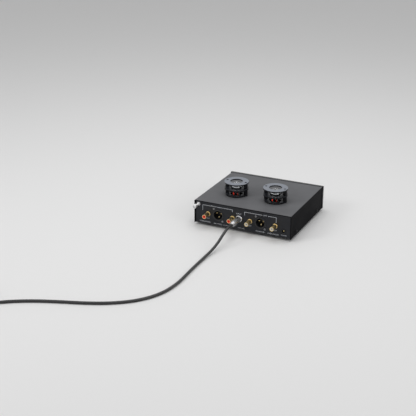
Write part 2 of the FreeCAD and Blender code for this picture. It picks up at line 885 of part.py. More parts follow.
def make_dial():
    """Loading dial: bevelled knob with a skirt, a pointer groove and a hollow back."""
    z = control_height
    back = at_front(dial_x, -dial_gap)
    profile = [(shaft_radius + shaft_fit / 5, dial_hollow_depth), (dial_hollow_radius, dial_hollow_depth),
               (dial_hollow_radius, 0), (dial_skirt_radius, 0), (dial_skirt_radius, dial_skirt),
               (dial_radius, dial_skirt + dial_chamfer), (dial_radius, dial_length - dial_chamfer),
               (dial_radius - dial_chamfer, dial_length), (0, dial_length),
               (0, dial_gap + shaft_in_dial), (shaft_radius + shaft_fit / 5, dial_gap + shaft_in_dial)]
    knob = turned_along(profile, back, -Y)
    face_y = front_y - dial_gap - dial_length
    mark = block(dial_x - dial_mark_width / 2, dial_x + dial_mark_width / 2, face_y,
                 face_y + dial_mark_depth, z + dial_mark_start, z + dial_radius)
    side = block(dial_x - dial_mark_width / 2, dial_x + dial_mark_width / 2, face_y,
                 face_y + dial_length - dial_skirt - dial_chamfer * 2,
                 z + dial_radius - dial_mark_depth, z + dial_radius)
    return knob.cut([mark, side])


def make_shaft():
    """Plain shaft from the knob into the potentiometer."""
    length = shaft_in_dial + dial_gap + front_wall + tray_wall + pot_length - pot_gap * 2
    return rod(shaft_radius, length, at_front(dial_x, -shaft_in_dial - dial_gap), Y)


def make_capacitors():
    """Row of filter capacitors beside the power jack."""
    x = power_x + power_radius * 2
    y = panel_inner_y - power_depth * 3
    cans = []
    for i in range(3):
        place = Vector(x, y - i * capacitor_pitch, board_top)
        can = rod(capacitor_radius, capacitor_height, place, Z)
        rim = [e for e in can.Edges if e.CenterOfMass.z > board_top + capacitor_height - 1e-6]
        cans.append(can.makeChamfer(capacitor_radius * 0.1, rim))
    return cans


def make_relays():
    """Row of small relays that set gain and input."""
    relays = []
    y = sheet_inner_y + switch_from_sheet + switch_depth + relay_depth
    for i in range(len(option_names)):
        x = (i - len(option_names) / 2) * relay_pitch
        relays.append(block(x, x + relay_width, y, y + relay_depth, board_top,
                            board_top + relay_height))
    return relays


def plug_body(nose_length):
    """Plug shell about +Z from its nose, with a grip groove and a narrower neck."""
    n = nose_length
    r = plug_radius
    g = plug_groove
    end = n + plug_length
    shoulder = end - plug_neck_length
    return turned([(0, 0), (plug_nose_radius, 0), (plug_nose_radius, n), (r, n),
                   (r, shoulder - plug_groove_width * 3), (r - g, shoulder - plug_groove_width * 3),
                   (r - g, shoulder - plug_groove_width * 2), (r, shoulder - plug_groove_width * 2),
                   (r, shoulder), (plug_neck_radius, end), (0, end)], Vector())


def boot_body():
    """Tapered strain relief about +Z, on the end of the plug's shell."""
    z0 = plug_nose_length + plug_length
    z1 = z0 + boot_length
    return turned([(0, z0), (boot_radius, z0), (boot_end_radius, z1), (0, z1)], Vector())


def latch_pocket(fit):
    """Block for the plug's latch button, or with a fit its pocket, on the +Y side."""
    z0 = plug_nose_length + latch_from_nose
    low = plug_radius - latch_sink - (latch_travel if fit else 0)
    high = plug_radius + latch_proud + (plug_radius if fit else 0)
    return block(-latch_width / 2 - fit, latch_width / 2 + fit, low, high, z0 - fit,
                 z0 + latch_length + fit)


def make_plug():
    """The plug in the input socket: shell with its latch pocket, latch and boot."""
    out = input_flange + sheet_gap / 2 - plug_nose_length
    return plug_at(at_rear(input_x, input_height, out), Y)


def plug_at(nose, axis):
    """Shell, latch and boot of a plug whose nose is at a point and whose lead leaves along axis."""
    shell = plug_body(plug_nose_length).cut(latch_pocket(latch_fit))
    latch = latch_pocket(0)
    top = [e for e in latch.Edges if e.CenterOfMass.y > plug_radius + latch_proud - 1e-6]
    latch = latch.makeFillet(latch_proud / 2, top)
    boot = boot_body()
    side = Z.cross(axis)
    turn = FreeCAD.Rotation(side * -1, Z, axis, "ZYX")
    for shape in (shell, latch, boot):
        shape.Placement = FreeCAD.Placement(nose, turn)
    return shell, latch, boot


def corner_arc(start, corner, end):
    """The arc that is tangent to both arms of a corner, whose arms are equally long."""
    arm_in = corner - start
    half = arm_in.getAngle(end - corner) / 2
    radius = arm_in.Length / math.tan(half)
    inwards = ((start + end) * 0.5 - corner).normalize()
    middle = corner + inwards * (radius / math.cos(half) - radius)
    return Part.Arc(start, middle, end).toShape(), radius


def rounded_route(points):
    """Straight runs joined by tangent arcs, each as large as its shorter run allows."""
    edges = []
    radii = []
    last = points[0]
    for before, corner, after in zip(points, points[1:], points[2:]):
        run_in = corner - before
        run_out = after - corner
        reach = route_bend * min(run_in.Length, run_out.Length)
        start = corner - run_in.normalize() * reach
        end = corner + run_out.normalize() * reach
        arc, radius = corner_arc(start, corner, end)
        edges += [Part.LineSegment(last, start).toShape(), arc]
        radii.append(radius)
        last = end
    edges.append(Part.LineSegment(last, points[-1]).toShape())
    return Part.Wire(edges), radii


def biarc(p0, t0, p1, t1):
    """Two arcs that leave p0 along t0 and reach p1 along t1, both arms equally long."""
    chord = p1 - p0
    both = t0 + t1
    spare = 2 * (1 - t0.dot(t1))
    across = chord.dot(both)
    arm = (math.sqrt(across ** 2 + spare * chord.dot(chord)) - across) / spare
    first = p0 + t0 * arm
    second = p1 - t1 * arm
    joint = (first + second) * 0.5
    return [corner_arc(p0, first, joint)[0], corner_arc(joint, second, p1)[0]]


def swept(wire, name):
    """A round cord along a wire, with its volume compared with section times length."""
    edge = wire.OrderedEdges[0]
    start = edge.valueAt(edge.FirstParameter)
    ring = Part.Circle(start, edge.tangentAt(edge.FirstParameter), cord_radius).toShape()
    shell = Part.BRepOffsetAPI.MakePipeShell(wire)
    shell.add(Part.Wire([ring]))
    shell.build()
    shell.makeSolid()
    solid = shell.shape()
    ratio = solid.Volume / (math.pi * cord_radius ** 2 * wire.Length)
    print(name, "length", round(wire.Length, 1), "volume over section times length",
          round(ratio, 4))
    return solid


def coil_line():
    """The coil's centre, its start angle, and its centre line as a function of turns."""
    before, end = cord_points()[-2:]
    heading = (end - before).normalize()
    to_centre = Vector(-heading.y, heading.x, 0) * -1
    radius = coil_inner_radius + coil_pitch * coil_low_turns
    centre = Vector(end.x, end.y, 0) + to_centre * radius
    start_angle = math.atan2(-to_centre.y, -to_centre.x)

    def spot(turns):
        """Spiral in, climb one layer in the half turn about the tightest point, spiral out."""
        away = turns - coil_low_turns
        r = coil_inner_radius + coil_pitch * abs(away)
        climb = min(max(away + 0.25, 0.0), 0.5) * 2
        z = cord_radius + coil_pitch * (1 - math.cos(math.pi * climb)) / 2
        angle = start_angle - 2 * math.pi * turns
        return centre + Vector(r * math.cos(angle), r * math.sin(angle), z)

    def heading_at(turns):
        """Direction of travel, level and square to the radius except in the climb."""
        angle = start_angle - 2 * math.pi * turns
        r = coil_inner_radius + coil_pitch * abs(turns - coil_low_turns)
        at_ends = turns <= 0 or turns >= coil_low_turns + coil_high_turns
        turning = 0 if at_ends or abs(turns - coil_low_turns) < 1e-6 else 1
        inwards = turning * coil_pitch / (2 * math.pi) * (1 if turns < coil_low_turns else -1)
        rising = coil_pitch / 2 if abs(turns - coil_low_turns) < 1e-6 else 0
        tangent = Vector(math.sin(angle), -math.cos(angle), 0) * r
        tangent = tangent - Vector(math.cos(angle), math.sin(angle), 0) * inwards
        return (tangent + Z * rising).normalize()

    return spot, heading_at


def cord_points():
    """The route's corners: straight out of the boot, down to the floor and away."""
    points = [Vector(input_x, boot_end_y, input_height),
              Vector(input_x, boot_end_y + cord_straight, input_height)]
    points += [Vector(input_x + aside, boot_end_y + behind, cord_radius + lift)
               for aside, behind, lift in cord_run]
    return points


def make_coil():
    """The spare length in one unbroken coil of two layers, and where it ends."""
    spot, heading_at = coil_line()
    count = round((coil_low_turns + coil_high_turns) * coil_steps)
    knots = [i / coil_steps for i in range(count + 1)]
    edges = []
    for a, b in zip(knots, knots[1:]):
        edges += biarc(spot(a), heading_at(a), spot(b), heading_at(b))
    wire = Part.Wire(edges)
    print("coil least gap", round(least_gap(wire), 2))
    return swept(wire, "coil"), spot(knots[-1]), heading_at(knots[-1])


def least_gap(wire):
    """Least gap of a wound cord to itself, measured on points along its centre line."""
    points = wire.discretize(Distance=cord_radius)
    skip = math.ceil(math.pi * cord_diameter / cord_radius)
    near = min(p.distanceToPoint(q) for i, p in enumerate(points) for q in points[i + skip:])
    return near - cord_diameter


def make_cord():
    """The free stretch from the plug's boot to the coil."""
    wire, radii = rounded_route(cord_points())
    print("cord radii", [round(r) for r in radii])
    return swept(wire, "cord")


def make_tail(start, heading):
    """The last stretch, which comes down off the coil, and the plug on its end."""
    right = heading.cross(Z)
    base = Vector(start.x, start.y, 0)
    points = []
    for along, aside, down in tail_run:
        height = start.z + (plug_radius - start.z) * down
        points.append(base + heading * along + right * aside + Z * height)
    wire, radii = rounded_route(points)
    print("tail radii", [round(r) for r in radii])
    axis = (points[-2] - points[-1]).normalize()
    whole = plug_nose_length + plug_length + boot_length
    shell, latch, boot = plug_at(points[-1] - axis * whole, axis)
    return swept(wire, "tail"), [shell, latch, boot]


def main():
    os.makedirs("parts", exist_ok=True)
    power_jack, power_pin = make_power_jack()
    nodes = {
        "base_tray": [make_tray()],
        "top_cover": [make_cover()],
        "front_panel": [make_front_panel()],
        "rear_panel": [make_rear_panel()],
        "feet": make_feet(),
        "case_screws": make_case_screws(),
        "board_standoffs": make_standoffs(),
        "circuit_board": [make_board()],
        "control_board": [make_control_board()],
        "status_lights": make_lights(),
        "filter_capacitors": make_capacitors(),
        "signal_relays": make_relays(),
        "guard_screws": make_guard_screws(),
        "balanced_pins": make_balanced_pins("left") + make_balanced_pins("right"),
        "cartridge_socket": [make_input_socket()],
        "power_jack": [power_jack],
        "power_jack_pin": [power_pin],
        "ground_post": [make_ground_post()],
        "ground_washer": [make_washer()],
        "ground_thumb_nut": [make_thumb_nut()],
        "panel_nuts": make_panel_nuts(),
        "dial_potentiometer": [make_potentiometer()],
        "dial_shaft": [make_shaft()],
        "loading_dial": [make_dial()],
    }
    contacts = []
    for side, place in tube_places().items():
        base, posts, middle, upper = make_guard(place)
        jacks = jack_places(side)
        contacts += [make_jack_contact(x, z) for x, z in jacks]
        nodes.update({
            side + "_tube_socket": [make_tube_socket(place)],
            side + "_tube_glass": [make_glass(place)],
            side + "_tube_getter": [make_getter(place)],
            side + "_tube_core": [make_core(place)],
            side + "_guard_base": [base],
            side + "_guard_posts": posts,
            side + "_guard_middle_ring": [middle],
            side + "_guard_top_ring": [upper],
            side + "_phono_jacks": [make_jack(x, z) for x, z in jacks],
            side + "_jack_insulators": [make_jack_insert(x, z) for x, z in jacks],
            side + "_balanced_output": [make_balanced(side)],
        })
    nodes["jack_contacts"] = contacts
    for name, x, radius, proud, travel in button_places():
        nodes[name + "_button"] = [make_button(x, radius, proud, travel)]
    shell, latch, boot = make_plug()
    nodes.update({"plug_shell": [shell], "plug_latch": [latch], "plug_boot": [boot]})
    coil, coil_end, heading = make_coil()
    tail, far_plug = make_tail(coil_end, heading)
    nodes.update({"cord": [make_cord()], "cord_coil": [coil], "cord_tail": [tail],
                  "far_plug": far_plug})
    for name, shapes in nodes.items():
        save(name, *shapes)
    print(len(nodes), "nodes")


main()
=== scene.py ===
import bpy
import bmesh
import json
import math
import numpy as np
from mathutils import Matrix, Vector


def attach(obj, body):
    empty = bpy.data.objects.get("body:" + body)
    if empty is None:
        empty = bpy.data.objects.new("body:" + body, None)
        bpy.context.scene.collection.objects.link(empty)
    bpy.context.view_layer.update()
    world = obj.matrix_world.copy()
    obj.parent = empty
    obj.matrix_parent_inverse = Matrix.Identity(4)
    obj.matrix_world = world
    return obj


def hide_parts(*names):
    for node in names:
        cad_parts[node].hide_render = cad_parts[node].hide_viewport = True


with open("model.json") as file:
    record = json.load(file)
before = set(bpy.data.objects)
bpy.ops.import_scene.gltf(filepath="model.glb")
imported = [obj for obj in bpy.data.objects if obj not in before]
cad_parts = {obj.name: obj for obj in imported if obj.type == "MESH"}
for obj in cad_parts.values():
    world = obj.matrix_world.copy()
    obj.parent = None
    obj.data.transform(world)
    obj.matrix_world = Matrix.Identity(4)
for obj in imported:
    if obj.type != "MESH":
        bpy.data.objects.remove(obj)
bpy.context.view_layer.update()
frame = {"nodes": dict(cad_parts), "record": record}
nodes = frame["nodes"]

MM = 0.001
TURN = 2 * math.pi

# The photograph's camera
CAMERA_PLACE = (-0.6894, 1.6736, 0.7558)
CAMERA_TURN = (67.859, 0.0, 205.683)
SENSOR = 36.0
CAMERA_LENS = SENSOR * 960.2 / 416.0

# Places that the pieces share, in millimetres
HALF_WIDTH = 103.0
REAR_EDGE = 88.4
PANEL_Y = 86.4
PANEL_INNER_Y = 84.9
COVER_FRONT_Y = -87.6
FRONT_Y = -94.6
FOOT_HEIGHT = 4.8
TRAY_TOP = 6.0
BOARD_TOP = 13.6
TUBE_X = {"left": -44.0, "right": 40.0}
TUBE_Y = 24.4
GLASS_BOTTOM = 30.6
GLASS_HEIGHT = 49.0
GLASS_RADIUS = 11.1
CONTROL_HEIGHT = 28.8
DIAL_X = 62.0
BUTTONS = {"POWER": -86.0, "INPUT": -58.0, "GAIN": -37.0, "CAP": -16.0, "FILTER": 5.0}
GROUND_X = 93.5
GROUND_HEIGHT = 46.0
INPUT_X = 6.5
INPUT_HEIGHT = 28.5
CUP_X = {"left": -38.6, "right": 51.6}
CUP_HEIGHT = 27.6
PRINT_THICKNESS = 0.06

# Inside a tube, up from its seat and out from its middle
PIN_COUNT = 9
PIN_CIRCLE = 5.95
ANODE_REACH = 4.4
ANODE_HALF = (3.8, 5.25)
ANODE_BOTTOM = 10.5
ANODE_HEIGHT = 19.0
BEAD_HEIGHTS = (4.5, 9.5, 14.5)
ROD_REACH = 5.6
ROD_BOTTOM = 10.0
MICA_RADIUS = 9.4
MICA_HEIGHTS = (10.0, 29.6)
MICA_TEETH = 24
GETTER_RADIUS = 3.4
GETTER_HEIGHT = 35.6
GETTER_STEM = 5.6
FILM_HEIGHT = 13.0
CATHODE_REACH = 4.6
CATHODE_BOTTOM = 22.0
CATHODE_TOP = 30.0
CROWN_DROP = 3.0

# Screws, in from the edges that they belong to
FOOT_INSET = (20.0, 22.0)
COVER_SCREW_INSET = 30.0
COVER_SCREW_HEIGHT = 5.5
PANEL_SCREW_INSET = 36.0
PANEL_SCREW_DEPTH = 4.5
BOARD_SCREW_X = 90.0
BOARD_SCREW_Y = (-70.25, 67.75)
FRONT_SCREW_X = 91.0
FRONT_SCREW_Y = -87.4
FRONT_SCREW_HEIGHTS = (17.0, 45.6)
CUP_SCREW_OFFSET = (9.5, 12.0)

# Thumb nut, stud and dial
NUT_FACE_Y = 100.8
STUD_BACK_Y = 77.9
STUD_LENGTH = 30.5
THREAD_PITCH = 0.7
DIAL_GAP = 0.8
SCALE_MARKS = 11
SCALE_START = -150
SCALE_STEP = 30

# The lead, in metres, and its plugs and boots, in millimetres
CORD_RADIUS = 0.0027
CORD_ROUTE = [
    (0.0065, 0.1321, 0.0285),
    (0.0065, 0.1456, 0.0285),
    (0.0075, 0.1609, 0.0220),
    (0.0090, 0.1769, 0.0138),
    (0.0110, 0.1964, 0.0072),
    (0.0130, 0.2214, 0.0038),
    (0.0135, 0.2530, 0.0027),
    (0.0120, 0.2950, 0.0027),
    (0.0090, 0.3400, 0.0027),
    (0.0150, 0.3870, 0.0027),
    (0.0380, 0.4270, 0.0027),
    (0.0740, 0.4560, 0.0027),
    (0.1170, 0.4760, 0.0027),
    (0.1620, 0.4910, 0.0027),
    (0.2060, 0.5090, 0.0027),
    (0.2460, 0.5330, 0.0027),
    (0.2790, 0.5645, 0.0027),
]
COIL_INNER_RADIUS = 0.026
COIL_PITCH = 0.006
COIL_LOW_TURNS = 1.5
COIL_TURNS = 3.25
COIL_POINTS_PER_TURN = 16
TAIL_RUN = [(0.013, 0.0, 0.0), (0.029, 0.001, 0.4), (0.046, 0.0035, 1.0), (0.058, 0.006, 1.0)]
PLUG_RADIUS = 0.0055
NEAR_BOOT_Y = 123.1
BOOT_LENGTH = 9.0
FAR_SHELL_LENGTH = 43.0
FAR_PLUG_LENGTH = FAR_SHELL_LENGTH + BOOT_LENGTH

# Colours as linear red, green and blue
BLACK = (0.012, 0.012, 0.013, 1)
SOOT = (0.02, 0.02, 0.022, 1)
GREY_EDGE = (0.22, 0.22, 0.23, 1)
GOLD = (0.86, 0.68, 0.36, 1)
WHITE_PRINT = (0.62, 0.64, 0.68, 1)


# Surfaces

def grid(points, close_u=False, close_v=False):
    """Quads over a grid of points [u, v]: the normal is the v direction cross the u direction."""
    nu, nv = points.shape[:2]
    rows = np.arange(nu if close_u else nu - 1)
    columns = np.arange(nv if close_v else nv - 1)
    i, j = np.meshgrid(rows, columns, indexing="ij")
    i2, j2 = (i + 1) % nu, (j + 1) % nv
    quads = np.stack([i * nv + j, i * nv + j2, i2 * nv + j2, i2 * nv + j], -1)
    return points.reshape(-1, 3), quads.reshape(-1, 4)


def placed(form, place, axis=(0, 0, 1), side=None):
    """A form about +Z moved so that +Z lies along axis and the origin is at place, in mm."""
    points, quads = form
    z = np.array(axis, float)
    z /= np.linalg.norm(z)
    x = np.cross((0, 0, 1) if abs(z[2]) < 0.9 else (0, 1, 0), z) if side is None else side
    x = np.array(x, float)
    x /= np.linalg.norm(x)
    y = np.cross(z, x)
    return points @ np.array([x, y, z]) + np.array(place, float), quads


def turned(profile, steps=48, swell=None):
    """Profile (radius, height) turned about +Z; swell(angle, height) scales the radius.

    The profile runs up an outer wall and down an inner one, so that faces point outwards."""
    profile = np.array(profile, float)
    angle = np.arange(steps) / steps * TURN
    radius = np.repeat(profile[:, :1], steps, 1)
    height = np.repeat(profile[:, 1:], steps, 1)
    if swell is not None:
        radius = radius * swell(angle[None, :], height, radius)
    points = np.stack([radius * np.cos(angle), radius * np.sin(angle), height], -1)
    return grid(points, close_v=True)


def box(low, high):
    """A block between two corners."""
    corners = np.array([[x, y, z] for x in (0, 1) for y in (0, 1) for z in (0, 1)], float)
    low, high = np.array(low, float), np.array(high, float)
    quads = np.array([[0, 1, 3, 2], [4, 6, 7, 5], [0, 4, 5, 1], [2, 3, 7, 6],
                      [0, 2, 6, 4], [1, 5, 7, 3]])
    return low + corners * (high - low), quads


def ribbon(points, width, face, out):
    """A thin printed line on the plane y = face through (x, z) points, its corners mitred."""
    points = np.array(points, float)
    steps = np.diff(points, axis=0)
    steps /= np.linalg.norm(steps, axis=1)[:, None]
    before = np.vstack([steps[:1], steps])
    ahead = before + np.vstack([steps, steps[-1:]])
    across = np.stack([-ahead[:, 1], ahead[:, 0]], 1)
    square = np.stack([-before[:, 1], before[:, 0]], 1)
    across *= width / 2 / (across * square).sum(1)[:, None]
    rows = [(points + across, face - out), (points - across, face - out),
            (points - across, face + out), (points + across, face + out)]
    section = np.stack([np.stack([p[:, 0], np.full(len(p), y), p[:, 1]], 1) for p, y in rows], 1)
    flat, quads = grid(section, close_v=True)
    last = len(flat) - 4
    ends = np.array([[3, 2, 1, 0], [last, last + 1, last + 2, last + 3]])
    return flat, np.vstack([quads, ends])


def bar(start, end, width, face, out):
    """A straight printed line whose ends reach half its width past its (x, z) points."""
    start, end = np.array(start, float), np.array(end, float)
    reach = (end - start) / np.linalg.norm(end - start) * width / 2
    return ribbon([start - reach, end + reach], width, face, out)


def lettering(text, size, place, face, out, facing):
    """Plain block letters on the plane y = face, centred on place (x, z), made a mesh first."""
    curve = bpy.data.curves.new("letters", "FONT")
    curve.body = text
    curve.size = size
    curve.align_x = "CENTER"
    curve.align_y = "CENTER"
    curve.extrude = out
    curve.resolution_u = 3
    curve.space_character = 1.08
    holder = bpy.data.objects.new("letters", curve)
    mesh = bpy.data.meshes.new_from_object(holder)
    flat = np.zeros(len(mesh.vertices) * 3)
    mesh.vertices.foreach_get("co", flat)
    flat = flat.reshape(-1, 3)
    polygons = [list(p.vertices) for p in mesh.polygons]
    bpy.data.objects.remove(holder)
    bpy.data.curves.remove(curve)
    bpy.data.meshes.remove(mesh)
    points = np.stack([place[0] - facing * flat[:, 0], face + facing * flat[:, 2],
                       place[1] + flat[:, 1]], 1)
    return points, polygons


def make_piece(name, forms, body, material, replaces=(), sharp=35.0):
    """One object from several forms in millimetres, its doubles merged, shaded smooth."""
    points, faces, count = [], [], 0
    for form_points, form_faces in forms:
        points.append(form_points)
        faces += [[int(k) + count for k in f] for f in form_faces]
        count += len(form_points)
    mesh = bpy.data.meshes.new(name)
    mesh.from_pydata((np.vstack(points) * MM).tolist(), [], faces)
    work = bmesh.new()
    work.from_mesh(mesh)
    bmesh.ops.remove_doubles(work, verts=work.verts, dist=1e-7)
    bmesh.ops.dissolve_degenerate(work, edges=work.edges, dist=1e-8)
    work.to_mesh(mesh)
    work.free()
    mesh.polygons.foreach_set("use_smooth", [True] * len(mesh.polygons))
    mesh.set_sharp_from_angle(angle=math.radians(sharp))
    mesh.materials.append(material)
    piece = bpy.data.objects.new(name, mesh)
    bpy.context.scene.collection.objects.link(piece)
    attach(piece, body)
    if replaces:
        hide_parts(*replaces)
    return piece


# Shader groups

def new_group(name, inputs, outputs):
    """An empty node group with named sockets: (name, kind, default) in and (name, kind) out."""
    group = bpy.data.node_groups.new(name, "ShaderNodeTree")
    for label, kind, default in inputs:
        socket = group.interface.new_socket(label, in_out="INPUT", socket_type="NodeSocket" + kind)
        socket.default_value = default
    for label, kind in outputs:
        group.interface.new_socket(label, in_out="OUTPUT", socket_type="NodeSocket" + kind)
    return group, group.nodes.new("NodeGroupInput"), group.nodes.new("NodeGroupOutput")


def add(tree, kind, links=(), **settings):
    """A node with its settings; links pairs an input's name or number with a source or value."""
    node = tree.nodes.new("ShaderNode" + kind)
    for key, value in settings.items():
        setattr(node, key, value)
    for key, value in links:
        if isinstance(value, bpy.types.NodeSocket):
            tree.links.new(value, node.inputs[key])
        else:
            node.inputs[key].default_value = value
    return node


def grain_group():
    """Fine paint or moulding grain: a height, and a slow mask for its colour."""
    group, given, result = new_group("surface_grain", [("Scale", "Float", 900.0),
                                                       ("Spread", "Float", 40.0)],
                                     [("Height", "Float"), ("Mask", "Float")])
    place = add(group, "TexCoord").outputs["Object"]
    fine = add(group, "TexNoise", [("Vector", place), ("Scale", given.outputs["Scale"]),
                                   ("Detail", 3.0), ("Roughness", 0.6)])
    slow = add(group, "TexNoise", [("Vector", place), ("Scale", given.outputs["Spread"]),
                                   ("Detail", 4.0), ("Roughness", 0.55)])
    group.links.new(fine.outputs["Fac"], result.inputs["Height"])
    group.links.new(slow.outputs["Fac"], result.inputs["Mask"])
    return group


def smudge_group():
    """Roughness between two values, as on a surface that has been handled."""
    group, given, result = new_group("handled_roughness", [("Low", "Float", 0.3),
                                                           ("High", "Float", 0.5),
                                                           ("Spread", "Float", 25.0)],
                                     [("Roughness", "Float")])
    place = add(group, "TexCoord").outputs["Object"]
    noise = add(group, "TexNoise", [("Vector", place), ("Scale", given.outputs["Spread"]),
                                    ("Detail", 5.0), ("Distortion", 0.4)])
    span = add(group, "MapRange", [("Value", noise.outputs["Fac"]), ("From Min", 0.35),
                                   ("From Max", 0.65), ("To Min", given.outputs["Low"]),
                                   ("To Max", given.outputs["High"])])
    group.links.new(span.outputs["Result"], result.inputs["Roughness"])
    return group


def edge_group():
    """Rounded normals along edges with a height laid on top, and a mask of worn edges."""
    group, given, result = new_group("soft_edges", [("Radius", "Float", 0.0003),
                                                    ("Height", "Float", 0.0),
                                                    ("Depth", "Float", 0.00002)],
                                     [("Normal", "Vector"), ("Wear", "Float")])
    bevel = add(group, "Bevel", [("Radius", given.outputs["Radius"])], samples=4)
    bump = add(group, "Bump", [("Height", given.outputs["Height"]), ("Strength", 1.0),
                               ("Distance", given.outputs["Depth"]),
                               ("Normal", bevel.outputs["Normal"])])
    flat = add(group, "NewGeometry").outputs["Normal"]
    match = add(group, "VectorMath", [(0, bevel.outputs["Normal"]), (1, flat)],
                operation="DOT_PRODUCT")
    place = add(group, "TexCoord").outputs["Object"]
    noise = add(group, "TexNoise", [("Vector", place), ("Scale", 320.0), ("Detail", 4.0)])
    turn = add(group, "MapRange", [("Value", match.outputs["Value"]), ("From Min", 0.985),
                                   ("From Max", 0.80), ("To Min", 0.0), ("To Max", 1.0)])
    patchy = add(group, "MapRange", [("Value", noise.outputs["Fac"]), ("From Min", 0.35),
                                     ("From Max", 0.62)])
    wear = add(group, "Math", [(0, turn.outputs["Result"]), (1, patchy.outputs["Result"])],
               operation="MULTIPLY")
    group.links.new(bump.outputs["Normal"], result.inputs["Normal"])
    group.links.new(wear.outputs["Value"], result.inputs["Wear"])
    return group


def turned_group():
    """Fine rings about an axis through Centre, as a lathe leaves: height by distance from it."""
    group, given, result = new_group("turned_marks", [("Centre", "Vector", (0, 0, 0)),
                                                      ("Flatten", "Vector", (1, 0, 1)),
                                                      ("Pitch", "Float", 0.0003)],
                                     [("Height", "Float")])
    place = add(group, "TexCoord").outputs["Object"]
    away = add(group, "VectorMath", [(0, place), (1, given.outputs["Centre"])],
               operation="SUBTRACT")
    level = add(group, "VectorMath", [(0, away.outputs[0]), (1, given.outputs["Flatten"])],
                operation="MULTIPLY")
    far = add(group, "VectorMath", [(0, level.outputs[0])], operation="LENGTH")
    turns = add(group, "Math", [(0, far.outputs["Value"]), (1, given.outputs["Pitch"])],
                operation="DIVIDE")
    rings = add(group, "TexNoise", [("W", turns.outputs[0]), ("Scale", 1.0), ("Detail", 2.0)],
                noise_dimensions="1D")
    group.links.new(rings.outputs["Fac"], result.inputs["Height"])
    return group


def brushed_group():
    """Long scratches along one direction: noise squeezed across it by Stretch."""
    group, given, result = new_group("brushed_lines", [("Stretch", "Vector", (30, 3000, 3000))],
                                     [("Height", "Float")])
    place = add(group, "TexCoord").outputs["Object"]
    squeezed = add(group, "VectorMath", [(0, place), (1, given.outputs["Stretch"])],
                   operation="MULTIPLY")
    lines = add(group, "TexNoise", [("Vector", squeezed.outputs[0]), ("Scale", 1.0),
                                    ("Detail", 3.0)])
    group.links.new(lines.outputs["Fac"], result.inputs["Height"])
    return group


def upward_group():
    """Mask of faces that look up, broken a little by a slow pattern, where a painted sheen stands in
    for the light on the tops.
    """
    group, given, result = new_group("painted_sheen_faces", [("Spread", "Float", 30.0)],
                                     [("Mask", "Float")])
    flat = add(group, "NewGeometry").outputs["Normal"]
    parts = add(group, "SeparateXYZ", [("Vector", flat)])
    place = add(group, "TexCoord").outputs["Object"]
    noise = add(group, "TexNoise", [("Vector", place), ("Scale", given.outputs["Spread"]),
                                    ("Detail", 5.0), ("Roughness", 0.6)])
    up = add(group, "MapRange", [("Value", parts.outputs["Z"]), ("From Min", 0.6),
                                 ("From Max", 0.95)])
    patchy = add(group, "MapRange", [("Value", noise.outputs["Fac"]), ("From Min", 0.2),
                                     ("From Max", 0.7), ("To Min", 0.82), ("To Max", 1.0)])
    mask = add(group, "Math", [(0, up.outputs["Result"]), (1, patchy.outputs["Result"])],
               operation="MULTIPLY")
    group.links.new(mask.outputs["Value"], result.inputs["Mask"])
    return group


GRAIN = grain_group()
SMUDGE = smudge_group()
EDGES = edge_group()
TURNED = turned_group()
BRUSHED = brushed_group()
PAINTED_SHEEN = upward_group()


def use(tree, group, **values):
    """A group placed in a material with its own values."""
    node = tree.nodes.new("ShaderNodeGroup")
    node.node_tree = group
    for key, value in values.items():
        if isinstance(value, bpy.types.NodeSocket):
            tree.links.new(value, node.inputs[key])
        else:
            node.inputs[key].default_value = value
    return node


def finish(name, colour, second, rough, metallic=0.0, grain=900.0, spread=40.0, depth=0.00002,
           edge=0.0003, worn=GREY_EDGE, wear=0.4, pattern=None, handled=25.0, painted_sheen_colour=None,
           **plain):
    """A surface: two close colours in patches, handled roughness, grain or tool marks, worn edges,
    and, when given, a painted sheen colour on faces that look up.
    """
    material = bpy.data.materials.new(name)
    material.use_nodes = True
    tree = material.node_tree
    shader = tree.nodes["Principled BSDF"]
    marks = use(tree, GRAIN, Scale=grain, Spread=spread)
    height = marks.outputs["Height"]
    if pattern is not None:
        lines = use(tree, pattern[0], **pattern[1])
        height = add(tree, "Math", [(0, lines.outputs["Height"]), (1, height)],
                     operation="ADD").outputs[0]
    edges = use(tree, EDGES, Radius=edge, Depth=depth, Height=height)
    patches = add(tree, "MapRange", [("Value", marks.outputs["Mask"]), ("From Min", 0.35),
                                     ("From Max", 0.65)])
    base = add(tree, "Mix", data_type="RGBA")
    tree.links.new(patches.outputs["Result"], base.inputs[0])
    base.inputs[6].default_value = colour
    base.inputs[7].default_value = second
    share = add(tree, "Math", [(0, edges.outputs["Wear"]), (1, wear)], operation="MULTIPLY")
    top = add(tree, "Mix", data_type="RGBA")
    tree.links.new(share.outputs[0], top.inputs[0])
    colours = base.outputs[2]
    # Painted sheen: on faces that look up, a lighter colour stands in for the lamps' light on them.
    if painted_sheen_colour is not None:
        painted_sheen_mix = add(tree, "Mix", data_type="RGBA")
        tree.links.new(use(tree, PAINTED_SHEEN, Spread=22.0).outputs["Mask"], painted_sheen_mix.inputs[0])
        tree.links.new(colours, painted_sheen_mix.inputs[6])
        painted_sheen_mix.inputs[7].default_value = painted_sheen_colour
        colours = painted_sheen_mix.outputs[2]
    tree.links.new(colours, top.inputs[6])
    top.inputs[7].default_value = worn
    rubbed = use(tree, SMUDGE, Low=rough[0], High=rough[1], Spread=handled)
    tree.links.new(top.outputs[2], shader.inputs["Base Color"])
    tree.links.new(rubbed.outputs["Roughness"], shader.inputs["Roughness"])
    tree.links.new(edges.outputs["Normal"], shader.inputs["Normal"])
    shader.inputs["Metallic"].default_value = metallic
    for key, value in plain.items():
        shader.inputs[key.replace("_", " ")].default_value = value
    return material


def about(x, y, z, flatten, pitch):
    """Lathe marks about a point given in millimetres."""
    return (TURNED, {"Centre": (x * MM, y * MM, z * MM), "Flatten": flatten, "Pitch": pitch})


def along(stretch):
    """Brush marks squeezed by stretch."""
    return (BRUSHED, {"Stretch": stretch})


